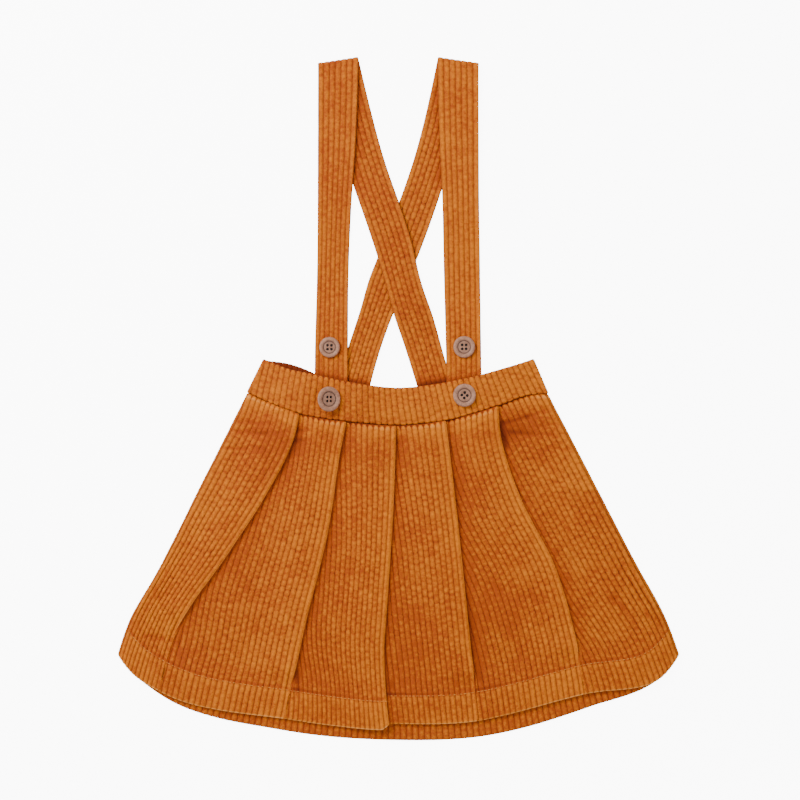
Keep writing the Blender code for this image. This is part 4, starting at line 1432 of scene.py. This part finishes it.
# %% Back panel
BACK_SHARES = np.concatenate((
    np.linspace(0, 0.88, 56),
    np.linspace(0.888, 0.992, 18),
    (0.9955, 0.998, 0.9993, 1.0),
))
BACK_TINT = 0.5
STRIP_TINT = -0.2          # of the turned-up strip that shows below the front
INSIDE_TINT = -0.9


def right_facts(x, y, from_side):
    """What the back's right side carries, which lies on the floor."""
    return {
        "stand": 0.8 * blend((from_side - 2) / 6),
        "crush": 0.9,
        "tint": BACK_TINT + 0.4 * patch_tint(-x, y),
    }


def inside_facts(turned_up, full):
    """What the side that faces up carries: ribbed where the hem is turned up, else plain."""
    return {
        "stand": min(turned_up, 1.0) * full,
        "crush": 0.5,
        "tint": STRIP_TINT if turned_up > 0 else INSIDE_TINT,
    }


def back_sides():
    marks = dense_marks(BACK_WIDTH)
    under, over = Side(marks), Side(marks)
    seam = SEAM_HEIGHT - SEAM_GAP / 2
    radius = seam - UPRIGHT - CLOTH / 2
    bend = quarter_bend(EDGE_INSET, seam - UPRIGHT, radius, -1)
    rim = np.vstack([[(EDGE_INSET, seam)], bend])
    for share in BACK_SHARES:
        plan = Path([line.at(share * line.length) for line in back_lines], 16)
        path = rimmed(rim, np.empty((0, 2)), plan.length)
        distance = marks / BACK_WIDTH * path.length
        spot, normal = path.at(distance), path.normal(distance)
        from_side = np.minimum(distance, path.length - distance)
        full = float(max(rounded((1 - share) * SKIRT_LENGTH, EDGE_ROUND), 0.15))
        turned_up = float(column(BACK_TOP, share)) - 0.5
        top = CLOTH / 2 + turned_up * CLOTH * blend((from_side - 3) / 8)
        top = top + RISE * turned_up * normal[:, 1] ** 2
        middle = (top - CLOTH / 2) / 2
        for side in (under, over):
            reach = (top - middle) * full if side is over else -(CLOTH / 2 + middle) * full
            reach = middle + reach
            place = plan.at(spot[:, 0] + normal[:, 0] * reach)
            points = np.column_stack([place, spot[:, 1] + normal[:, 1] * reach])
            facts = (inside_facts(turned_up, full) if side is over
                     else right_facts(points[:, 0], points[:, 1], from_side))
            side.add(points, wale=900.0 + marks / WALE_PITCH, run=share * SKIRT_LENGTH, **facts)
    return under, over


back = wall("back_skirt_cloth", *back_sides())
finish_cloth(back, "back", block_depth=0.3, unevenness=0.08)

# %% [markdown]
# ## The waistbands
# Each band is a folded strip, two layers thick, with its wales running up and down. The front one
# rises over the strap ends behind it. Its top edge is a fold, so the wales turn over it; its lower
# edge sinks to the skirt, and the seam leaves rows of crushed blocks above it.

# %% Waistbands
# distance in from the side, height of the middle of the band
BAND_LEVELS = (
    (2.0, 4.4),
    (18.0, 6.6),
    (34.0, 8.6),
    (48.0, 9.95),
    (96.0, 9.95),
    (118.0, 7.4),
    (128.0, 7.2),
)
FLAT_LEVELS = ((2.0, DOUBLE / 2), (128.0, DOUBLE / 2))
BAND_WALES = 50
BAND_STEPS = 8             # points to a wale
HALF_BAND = 121.0          # half a band's width
# x, how many wales further left they start at the top than at the seam
BAND_LEAN = ((-HALF_BAND, 1.3), (0.0, 1.0), (HALF_BAND, 0.35))
BAND_BEND = 1.6            # radius of the turn into the side seam
BAND_DROP = 1.4            # how far the front band sinks towards the skirt
BAND_DROP_FROM = (18.0, 48.0)
BAND_HEIGHT = 36.0
WAIST_GAP = 0.45
INSIDE_RISE = 0.3          # of the crests inside the back band
BAND_SHARES = np.concatenate((
    np.array([0.0, 0.25, 0.7, 1.3, 2.0]) / BAND_HEIGHT,
    np.linspace(3.4, BAND_HEIGHT - 3.4, 20) / BAND_HEIGHT,
    1 - np.array([2.0, 1.3, 0.7, 0.25, 0.0]) / BAND_HEIGHT,
))


def top_edge(x):
    return 8.9 + 26.0 * np.abs(x / HALF_BAND) ** 1.6


def front_top_edge(x):
    """It sags a little on the left."""
    return top_edge(x) - 1.9 * bell(x + 99.0, 15.0)


def back_top_edge(x):
    """Just under the front's edge, but for a sliver that stands above it on the left."""
    sliver = 4.2 * np.cos(np.clip((x + 94) / 26, -1, 1) * math.pi / 2)
    return top_edge(x) - 1.2 + sliver


print("the top edge rises", round(top_edge(HALF_BAND) - top_edge(0.0), 1), "mm towards the sides")

# %% Sides of a band


def band_sides(lines, top_edge, levels, side_up, rises, facts):
    """The right and the wrong side of a band. side_up is 1 for the front and -1 for the back."""
    across = np.linspace(-HALF_BAND, HALF_BAND, 81)
    lower = Path([line.at(0.0) + (0, WAIST_GAP) for line in lines], 16)
    upper = Path(np.column_stack([across, top_edge(across)]))
    share_of = np.linspace(0, 1, 81)
    low, high = lower.at(lower.length * share_of), upper.at(upper.length * share_of)
    marks = np.linspace(0, BAND_WALES * WALE_PITCH, BAND_WALES * BAND_STEPS + 1)
    sides = [Side(marks), Side(marks)]
    inset = DOUBLE / 2
    seam = SEAM_HEIGHT + side_up * SEAM_GAP / 2
    radius = BAND_BEND if side_up > 0 else seam - UPRIGHT - DOUBLE / 2
    bend = quarter_bend(inset, seam + side_up * UPRIGHT, radius, side_up)
    rim = np.vstack([[(inset, seam)], bend])
    for share in BAND_SHARES:
        plan = Path(low + share * (high - low))
        places = np.linspace(inset + radius + 2, plan.length - inset - radius - 2, 150)
        from_side = np.minimum(places, plan.length - places)
        heights = soft_column(levels, from_side, 1, 3.0)
        if side_up > 0:
            inwards = (from_side - BAND_DROP_FROM[0]) / (BAND_DROP_FROM[1] - BAND_DROP_FROM[0])
            heights = heights - BAND_DROP * (1 - blend(share / 0.5)) * blend(inwards)
        path = rimmed(rim, np.column_stack([places, heights]), plan.length)
        distance = marks / marks[-1] * path.length
        spot, normal = path.at(distance), path.normal(distance) * side_up
        from_edge = min(share, 1 - share) * BAND_HEIGHT
        full = float(max(rounded(from_edge + 0.1, EDGE_ROUND), 0.2))
        from_side = np.minimum(distance, path.length - distance)
        for side, sign, rise in zip(sides, (1, -1), rises):
            reach = sign * (DOUBLE / 2 + rise) * full
            place = plan.at(spot[:, 0] + normal[:, 0] * reach)
            points = np.column_stack([place, spot[:, 1] + normal[:, 1] * reach])
            lean = column(BAND_LEAN, points[:, 0]) * (share - 0.5)
            off_crest = np.abs((marks / WALE_PITCH + lean) % 1.0 * 2.0 - 1.0)
            side.add(points, run=share * BAND_HEIGHT,
                     wale=600.0 + 100 * side_up + marks / WALE_PITCH + lean,
                     **facts(sign, share, points[:, 0], from_side, off_crest))
    return sides


print("rows of a band:", len(BAND_SHARES), "columns:", BAND_WALES * BAND_STEPS + 1)

# %% Both bands


def front_band_facts(sign, share, x, from_side, off_crest):
    if sign < 0:
        return {"stand": 0.3, "crush": 0.5, "tint": -0.8}
    from_low, from_top = share * BAND_HEIGHT, (1 - share) * BAND_HEIGHT
    waver = 0.2 * np.sin(x / 31.0 + 1.0)
    tint = 0.2 * bell(from_top, 5.0) - 0.2 * bell(from_low - 4.0, 3.0) + waver
    # painted shade along the seam; the right end is painted lighter where the lamps' light falls
    # off
    tint = tint - 1.2 * bell(from_low, 0.8) * plain_seam(x) + 0.6 * blend((x - 60.0) / 45.0)
    # painted shade in the arches between the wale tips along the top edge
    tint = tint - 1.7 * blend(2.6 * off_crest ** 2 + 0.5 - from_top)
    return {
        "stand": blend((from_side - 1) / 3),
        "crush": 0.85 - 0.5 * bell(from_top, 4.0),
        "tint": tint,
    }


def back_band_facts(sign, share, x, from_side, off_crest):
    # the inside, which shows as a sliver above the front band, is painted deep shade
    if sign < 0:
        return {"stand": 0.4, "crush": 0.4, "tint": -2.3}
    return {"stand": 0.8 * blend((from_side - 1) / 3), "crush": 0.9, "tint": 0.5}


front_band = wall("front_waistband_cloth", *band_sides(
    front_lines, front_top_edge, BAND_LEVELS, 1, (RISE, 0.0), front_band_facts))
finish_cloth(front_band, "band", block_depth=0.6)
back_band = wall("back_waistband_cloth", *band_sides(
    back_lines, back_top_edge, FLAT_LEVELS, -1, (0.0, INSIDE_RISE), back_band_facts))
finish_cloth(back_band, "back", depth=0.8, unevenness=0.05)

# %% [markdown]
# ## The shoulder straps
# Each strap starts behind the front band, runs up over the shoulder, folds back and crosses to the
# back band, the left one over the right one. Both are folded strips with both edges turned in, so
# their outermost wales are smoother and lighter.

# %% Lines and heights of the straps
# each leg's inner edge and outer edge, from its tail up to the shoulder
LEFT_FRONT = (
    ((-45.5, -12), (-45.3, 29), (-44.6, 120), (-41.8, 180), (-39.0, 218), (-35.8, 304)),
    ((-75.5, -12), (-75.2, 29), (-73.2, 120), (-72.6, 180), (-72.5, 218), (-72.3, 304)),
)
LEFT_BACK = (
    ((54, -8), (42, 33.8), (31, 72.9), (21.2, 101.3), (11.3, 141.8), (-14, 218.3), (-35.8, 304)),
    ((22, -8), (5.9, 44.6), (-4.1, 74.3), (-10.4, 98.1), (-23.9, 141.8), (-43, 198), (-72.3, 298)),
)
RIGHT_FRONT = (
    ((43.2, -12), (42.7, 29), (40.6, 120), (39.2, 180), (37.4, 218), (35.0, 304)),
    ((75, -12), (74.4, 29), (73.4, 120), (72.4, 180), (72.2, 218), (72.0, 304)),
)
RIGHT_BACK = (
    ((-60.5, -8), (-44.6, 47.3), (-34.7, 77.9), (-26.1, 107.6), (-19.4, 124.7), (14.9, 218.3),
     (35.0, 304)),
    ((-30, -8), (-14, 50), (-5, 74.3), (5.5, 98), (17.6, 127), (42, 196), (72.0, 298)),
)

STRAP_ROLL = 1.6           # radius of the fold over the shoulder, to the middle of the strap
STRAP_LOW = 1.1
STRAP_HIGH = STRAP_LOW + 2 * STRAP_ROLL
STRAP_RISE = 0.5           # of the crests
STRAP_WALES = 7
SHOULDER = 300.75
SHOULDER_SLANT = 2.75      # how much higher up the inner edge folds over than the middle
ROLL_STEPS = 10
ROW_STEP = 2.0
LEG_REACH = 4.0            # how far the corners of a leg's table are rounded off
EDGE_MARKS = (0.35, 1.5, 2.4)                  # more columns beside each edge, where it rounds
CAST_SHADE = 0.9           # how much the front leg darkens the back one beside it
BEHIND_SHADE = 0.02        # and how much darker that one is all over

# y along the strap, height of its middle surface, how much higher up the inner edge is cut there
FRONT_LEG = (
    (-12, 5.2, 0),
    (0, 6.95, 0),
    (24, 6.95, 0),
    (34, 6.5, 0),
    (56, 5.6, 0),
    (84, 1.7, 0),
    (96, STRAP_LOW, 0),
    (134, STRAP_LOW, 0),
    (178, STRAP_HIGH, 1.5),
    (240, STRAP_HIGH, 2),
    (SHOULDER, STRAP_HIGH, SHOULDER_SLANT),
)
OVER_LEG = (
    (0, 3.9, 3),
    (20, 3.9, 4.5),
    (30, 3.2, 4.5),
    (52, 2.4, 4.5),
    (76, 4.2, 4.5),
    (126, 4.3, 4.5),
    (176, 4.2, 4.5),
    (200, STRAP_LOW, 4.5),
    (250, STRAP_LOW, 3.6),
    (SHOULDER, STRAP_LOW, SHOULDER_SLANT),
)
UNDER_LEG = (
    (0, 3.9, 3),
    (20, 3.9, 4.5),
    (30, 2.8, 4.5),
    (52, STRAP_LOW, 4.5),
    (176, STRAP_LOW, 4.5),
    (236, STRAP_LOW, 3.6),
    (SHOULDER, STRAP_LOW, SHOULDER_SLANT),
)
print("the straps fold over", SHOULDER, "mm above the middle of the waist seam")

# %% Cuts along a strap


def leg_stations(inner, outer, leg):
    """Inner edge, outer edge and height of each cut along a leg, from the tail to the shoulder."""
    inner, outer = smooth(inner, 24), smooth(outer, 24)
    y = np.arange(leg[0][0], SHOULDER, ROW_STEP)
    height = np.maximum(soft_column(leg, y, 1, LEG_REACH), STRAP_LOW)
    slant = column(leg, y, 2)
    ends = []
    for edge, across in ((inner, slant), (outer, -slant)):
        ends.append(np.column_stack([np.interp(y + across, edge[:, 1], edge[:, 0]), y + across]))
    return [(a, b, z, 0.0) for a, b, z in zip(*ends, height)]


def edge_at(edge, y):
    """The point of a strap's edge at this height up the picture."""
    return np.array([np.interp(y, [point[1] for point in edge], [point[0] for point in edge]), y])


def strap_stations(front_edges, back_edges, back_leg):
    front = leg_stations(*front_edges, FRONT_LEG)
    back = leg_stations(*back_edges, back_leg)
    inner = edge_at(front_edges[0], SHOULDER + SHOULDER_SLANT)
    outer = edge_at(front_edges[1], SHOULDER - SHOULDER_SLANT)
    up = square_up(inner, outer)
    roll = []
    for angle in np.pi * np.arange(ROLL_STEPS + 1) / ROLL_STEPS:
        shift = up * STRAP_ROLL * math.sin(angle)
        height = STRAP_LOW + STRAP_ROLL * (1 + math.cos(angle))
        roll.append((inner + shift, outer + shift, height, angle))
    return front + roll + [(a, b, z, math.pi) for a, b, z, _ in reversed(back)]


def square_up(inner, outer):
    """The direction along the strap, towards the shoulder."""
    across = outer - inner
    up = np.array([across[1], -across[0]]) / np.linalg.norm(across)
    return up if up[1] > 0 else -up


print("cuts along the left strap:", len(strap_stations(LEFT_FRONT, LEFT_BACK, OVER_LEG)))

# %% Straps


def strap_marks():
    marks = dense_marks(STRAP_WALES * WALE_PITCH)
    beside_edges = [mark for step in EDGE_MARKS for mark in (step, marks[-1] - step)]
    return np.sort(np.concatenate([marks, beside_edges]))


def strap_sides(front_edges, back_edges, back_leg, tone):
    stations = strap_stations(front_edges, back_edges, back_leg)
    marks = strap_marks()
    share = marks / marks[-1]
    sides = [Side(marks), Side(marks)]
    front_edge = np.array(front_edges[0], float).T[::-1]
    run = 0.0
    last = None
    for inner, outer, height, turn in stations:
        middle = (inner + outer) / 2
        if last is not None:
            run += max(np.linalg.norm(middle - last), 0.3)
        last = middle
        width = np.linalg.norm(outer - inner)
        up = square_up(inner, outer)
        lean = np.array([*(up * math.sin(turn)), math.cos(turn)])
        across = inner + share[:, None] * (outer - inner)
        foot = np.column_stack([across, np.full(len(share), height)])
        from_edge = np.minimum(share, 1 - share) * width
        full = np.maximum(rounded(from_edge, 1.5), 0.18)
        at_edge = bell(from_edge - 2.0, 2.2)
        # painted shadow where the strap runs under the band
        at_band = bell(foot[:, 1] - top_edge(foot[:, 0]), 5.0)
        beside_front = bell(foot[:, 0] - np.interp(middle[1], *front_edge), 6.0)
        shade = BEHIND_SHADE + CAST_SHADE * beside_front
        behind = (1 - math.cos(turn)) / 2
        for side, sign in zip(sides, (1, -1)):
            faces_up = sign * math.cos(turn)
            rise = STRAP_RISE * max(faces_up, 0.0)
            if sign < 0:
                rise *= float(blend((SHOULDER - middle[1]) / 10))
            side.add(foot + lean * (sign * (DOUBLE / 2 + rise) * full)[:, None],
                     wale=marks / WALE_PITCH + 40, run=run,
                     stand=(0.45 + 0.55 * max(faces_up, 0.0)) * blend((from_edge - 0.3) / 1.5),
                     crush=(0.5 + 0.6 * behind) * (1 - 0.75 * at_edge),
                     tint=0.3 * at_edge + tone - shade * behind - (1.3 + 0.5 * behind) * at_band)
    return sides


# name, edges of the front leg, edges of the back leg, heights of the back leg, tint
STRAPS = (
    ("strap_left", LEFT_FRONT, LEFT_BACK, OVER_LEG, -0.3),
    ("strap_right", RIGHT_FRONT, RIGHT_BACK, UNDER_LEG, 0.0),
)
for strap_name, *strap_row in STRAPS:
    strap = wall(strap_name + "_cloth", *strap_sides(*strap_row))
    finish_cloth(strap, "strap", depth=0.95, block_depth=0.45, unevenness=0.12)

# %% [markdown]
# ## Stitching
# The hem's stitches lie in a shallow line below the crests. One small tree runs a line of separate
# stitches along a path: it spaces points along the curve and sets a stitch on each.

# %% The tree that sews
STITCH = 3.2
THREAD_THICK = 0.28


def stitch_tree():
    tree, start, given = new_tree("sew", (
        ("Spacing", "NodeSocketFloat", STITCH * MM),
        ("Thickness", "NodeSocketFloat", THREAD_THICK * MM),
        ("Material", "NodeSocketMaterial", None),
    ))
    curve = start.node("GeometryNodeMeshToCurve", {}, {"Mesh": given["Geometry"]})
    spaced = start.node("GeometryNodeResampleCurve", {"mode": "LENGTH"}, {
        "Curve": curve, "Length": given["Spacing"]})
    tangent = start.node("GeometryNodeInputTangent", {}, {})
    turned = start.node("FunctionNodeAlignRotationToVector", {"axis": "X"}, {"Vector": tangent})
    bead = start.node("GeometryNodeMeshUVSphere", {}, {"Segments": 8, "Rings": 6, "Radius": 1.0})
    size = pair(start, given["Spacing"] * 0.48, given["Thickness"], given["Thickness"])
    placed = start.node("GeometryNodeInstanceOnPoints", {}, {
        "Points": spaced, "Instance": bead, "Rotation": turned, "Scale": size})
    close_tree(start, placed, given["Material"])
    return tree


sew = stitch_tree()
print("nodes in the tree:", len(sew.nodes))

# %% Stitches
FOLDED = 0.3               # a fold that is shut more than this hides the stitching under it
THREAD_SINK = 0.35         # of the thread below the crests
SEAM_START = 3.0           # where the stitching starts, in from the side


def hem_paths():
    """Along the stitching, one line over each gore."""
    row = min(front_rows, key=lambda cut: abs(cut.share - HEM))
    lines = []
    for k in range(len(PLEATS) + 1):
        start, end = row.gores[k].inner[0][0], row.gores[k].inner[-1][0]
        if row.shut(k - 1) > FOLDED:
            start = row.folds[k - 1] + 1.0
        if row.shut(k) > FOLDED:
            end += EDGE_INSET
        if k == 0:
            start += SEAM_START
        if k == len(PLEATS):
            end -= SEAM_START
        along = np.arange(start, end, 2.0)
        normal = np.tile((0.0, 1.0), (len(along), 1))
        lines.append(row.place(k, along, row.level(k, along) - THREAD_SINK, normal, True))
    return lines


def sewn(name, lines):
    mesh = bpy.data.meshes.new(name)
    points = np.vstack(lines) * MM
    edges = []
    first = 0
    for line in lines:
        edges += [(first + i, first + i + 1) for i in range(len(line) - 1)]
        first += len(line)
    mesh.from_pydata(points.tolist(), edges, [])
    piece = added(name, mesh)
    run_tree(piece, sew, {
        "Spacing": STITCH * MM, "Thickness": THREAD_THICK * MM, "Material": THREAD})
    keep(piece)


sewn("hem_stitches", hem_paths())

# %% [markdown]
# ## The buttons
# Four four-hole buttons in a mottled taupe, as horn or corozo takes dye: a rounded rim, a step down
# to the dished centre, and four drilled holes.

# %% Sizes of the buttons
BUTTON_THICK = 3.0
BUTTON_HOLE = 2.5
BUTTON_HOLE_SPACING = 3.5
HOLE_FLOOR = 0.5           # the sewing thread closes a hole this far above the back
# name, x, y, height of the seat, diameter, turn and tilt in degrees
BUTTONS = (
    ("button_strap_left", -61.8, 45.0, 8.4, 18.5, 0, 0),
    ("button_strap_right", 58.8, 45.3, 8.4, 19.5, 0, 0),
    ("button_waist_left", -62.7, -1.4, 12.0, 22.4, 0, 29),
    ("button_waist_right", 59.0, 2.0, 12.0, 20.5, 40, 0),
)
# share of the radius, height from the back
BUTTON_PROFILE = (
    (0.0, 0.0), (0.80, 0.0), (0.90, 0.12), (0.97, 0.5), (1.0, 1.0), (1.0, 1.7), (0.985, 2.2),
    (0.95, 2.65), (0.89, 2.92), (0.82, 3.0), (0.75, 2.9), (0.69, 2.62), (0.64, 2.2), (0.61, 1.95),
    (0.585, 1.82), (0.56, 1.80), (0.53, 1.86), (0.45, 1.92), (0.2, 1.88), (0.0, 1.86),
)
print("the rim stands", max(height for _, height in BUTTON_PROFILE), "mm high")

# %% Horn
DARK_HORN = (0.200, 0.088, 0.052)
LIGHT_HORN = (0.560, 0.290, 0.190)
# painted shade for the holes and the ring round the dish
HOLLOW_SHADE = (0.016, 0.007, 0.005)


def horn():
    made, shader, start = new_material("horn", 0.42)
    place = start.node("ShaderNodeTexCoord", {}, {}, "Object")
    tone = 0.5 + cloudy(start, place, 260.0, 3.0, 0.65) * 0.32
    tone = (tone + cloudy(start, place, 1500.0, 2.0) * 0.2).held()
    colour = mixed(start, tone, DARK_HORN, LIGHT_HORN)
    # painted shade in the holes and round the dished centre
    colour = mixed(start, attribute(start, "painted_shade"), colour, HOLLOW_SHADE)
    start.tree.links.new(colour.socket, shader.inputs["Base Color"])
    bump(start, shader, cloudy(start, place, 700.0, 2.0), 0.25, 0.15 * MM)
    return made


HORN = horn()
print("one mottled finish:", HORN.name)

# %% Turning and drilling


def lathe(name, radius, steps=96):
    profile = smooth([(share * radius, height) for share, height in BUTTON_PROFILE], 2)
    work = bmesh.new()
    verts = [work.verts.new((distance, 0.0, height)) for distance, height in profile]
    edges = [work.edges.new(ends) for ends in zip(verts, verts[1:])]
    bmesh.ops.spin(work, geom=verts + edges, cent=(0, 0, 0), axis=(0, 0, 1), angle=math.tau,
                   steps=steps, use_merge=True)
    bmesh.ops.remove_doubles(work, verts=work.verts, dist=0.0005)
    return close_work(name, work)


def drills(name):
    work = bmesh.new()
    reach = BUTTON_HOLE_SPACING / math.sqrt(2)
    radius = BUTTON_HOLE / 2
    for i in range(4):
        angle = math.pi / 4 + i * math.pi / 2
        middle = (reach * math.cos(angle), reach * math.sin(angle), HOLE_FLOOR + 1.5 * BUTTON_THICK)
        hole = bmesh.ops.create_cone(work, cap_ends=True, segments=24, radius1=radius,
                                     radius2=radius, depth=3 * BUTTON_THICK)
        bmesh.ops.translate(work, verts=hole["verts"], vec=middle)
    return close_work(name, work)


def close_work(name, work):
    mesh = bpy.data.meshes.new(name)
    work.to_mesh(mesh)
    work.free()
    face_outwards(mesh)
    return added(name, mesh)


def drilled(button, cutter):
    """The button's mesh with the cutter taken out of it."""
    holes = button.modifiers.new("holes", "BOOLEAN")
    holes.operation = "DIFFERENCE"
    holes.solver = "EXACT"
    holes.object = cutter
    graph = bpy.context.evaluated_depsgraph_get()
    mesh = bpy.data.meshes.new_from_object(button.evaluated_get(graph), depsgraph=graph)
    button.modifiers.clear()
    button.data = mesh
    bpy.data.objects.remove(cutter, do_unlink=True)
    return mesh


print("each button has four holes of", BUTTON_HOLE, "mm")

# %% Buttons
HOLE_TOP = 1.0             # the dished centre lies higher than this all over
SHARP_EDGE = 50            # degrees


def button_shade(points, radius):
    """What is painted dark on a button: painted shadow in its holes, and painted shade in the ring
    round the dished centre and over the dish.
    """
    reach = BUTTON_HOLE_SPACING / 2
    to_hole = np.hypot(np.abs(points[:, 0]) - reach, np.abs(points[:, 1]) - reach)
    in_hole = (to_hole < BUTTON_HOLE / 2 + 0.05) & (points[:, 2] < HOLE_TOP)
    out = np.hypot(points[:, 0], points[:, 1]) / radius
    ring = (0.75 * bell(out - 0.58, 0.045) + 0.14 * (out < 0.6)) * (points[:, 2] > HOLE_TOP)
    return np.maximum(in_hole, ring)


def make_button(name, x, y, seat, diameter, turn, tilt):
    button = lathe(name + "_horn", diameter / 2)
    mesh = drilled(button, drills(name + "_drills"))
    points = np.empty(len(mesh.vertices) * 3)
    mesh.vertices.foreach_get("co", points)
    points = points.reshape(-1, 3)
    write_fact(mesh, "painted_shade", button_shade(points, diameter / 2))
    c, s = math.cos(math.radians(turn)), math.sin(math.radians(turn))
    points = points @ np.array([[c, s, 0], [-s, c, 0], [0, 0, 1]])
    c, s = math.cos(math.radians(tilt)), math.sin(math.radians(tilt))
    points = points @ np.array([[c, 0, -s], [0, 1, 0], [s, 0, c]])
    points = (points + (x, y, seat + diameter / 2 * s)) * MM
    mesh.vertices.foreach_set("co", points.ravel())
    mesh.materials.clear()
    mesh.materials.append(HORN)
    mesh.shade_smooth()
    mesh.set_sharp_from_angle(angle=math.radians(SHARP_EDGE))
    keep(button)


for button_row in BUTTONS:
    make_button(*button_row)

# %% [markdown]
# ## What each piece stands for
# Every piece rides on the one body of the garment and takes the place of its own solid. The cloth
# pieces print how large they would be if they were laid out flat, and how they are held.

# %% What each piece was cut to
HEM_TURN = HEM_LINE + 3.0                      # how much cloth is turned up
FRONT_FLAT = (sum(gore_widths) + 5.0 * len(PLEATS), SKIRT_LENGTH + HEM_TURN)
BACK_FLAT = (BACK_WIDTH, SKIRT_LENGTH + 8.0 + HEM_TURN)
BAND_FLAT = (BAND_WALES * WALE_PITCH, BAND_HEIGHT)
STRAP_FLAT = (34.0, 2 * SHOULDER + 20.0)
print("the front laid flat:", [round(size) for size in FRONT_FLAT], "mm")

# %% Rides and replacements
# piece, slot
WORN = (
    ("front_skirt", "corduroy_skirt"),
    ("back_skirt", "corduroy_back"),
    ("front_waistband", "corduroy_band"),
    ("back_waistband", "corduroy_back"),
    ("strap_left", "corduroy_strap"),
    ("strap_right", "corduroy_strap"),
)
for node, slot in WORN:
    piece = PIECES[node + "_cloth"]
    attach(piece, "root")
    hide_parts(node)
for button_row in BUTTONS:
    piece = PIECES[button_row[0] + "_horn"]
    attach(piece, "root")
    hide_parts(button_row[0])
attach(PIECES["hem_stitches"], "root")

# %% Sheets, as they were cut
# piece, width and length laid flat in millimetres, share of that rectangle that is cloth,
# how it is held, what it rests on
SHEETS = (
    ("back_skirt", BACK_FLAT, 0.85, "laid", []),
    ("front_skirt", FRONT_FLAT, 0.9, "folded", ["back_skirt_cloth"]),
    ("back_waistband", BAND_FLAT, 1.0, "laid", []),
    ("front_waistband", BAND_FLAT, 1.0, "laid",
     ["back_waistband_cloth", "strap_left_cloth", "strap_right_cloth"]),
    ("strap_right", STRAP_FLAT, 1.0, "folded", ["back_waistband_cloth"]),
    ("strap_left", STRAP_FLAT, 1.0, "folded", ["back_waistband_cloth", "strap_right_cloth"]),
)
for node, flat, share, held, below in SHEETS:
    sewn_on = [PIECES["hem_stitches"]] if node == "front_skirt" else []
    width, length = (size * MM for size in flat)
    PIECES[node + "_cloth"]
    share * width * length
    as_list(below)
    print(node, "cut", [round(size) for size in flat], held)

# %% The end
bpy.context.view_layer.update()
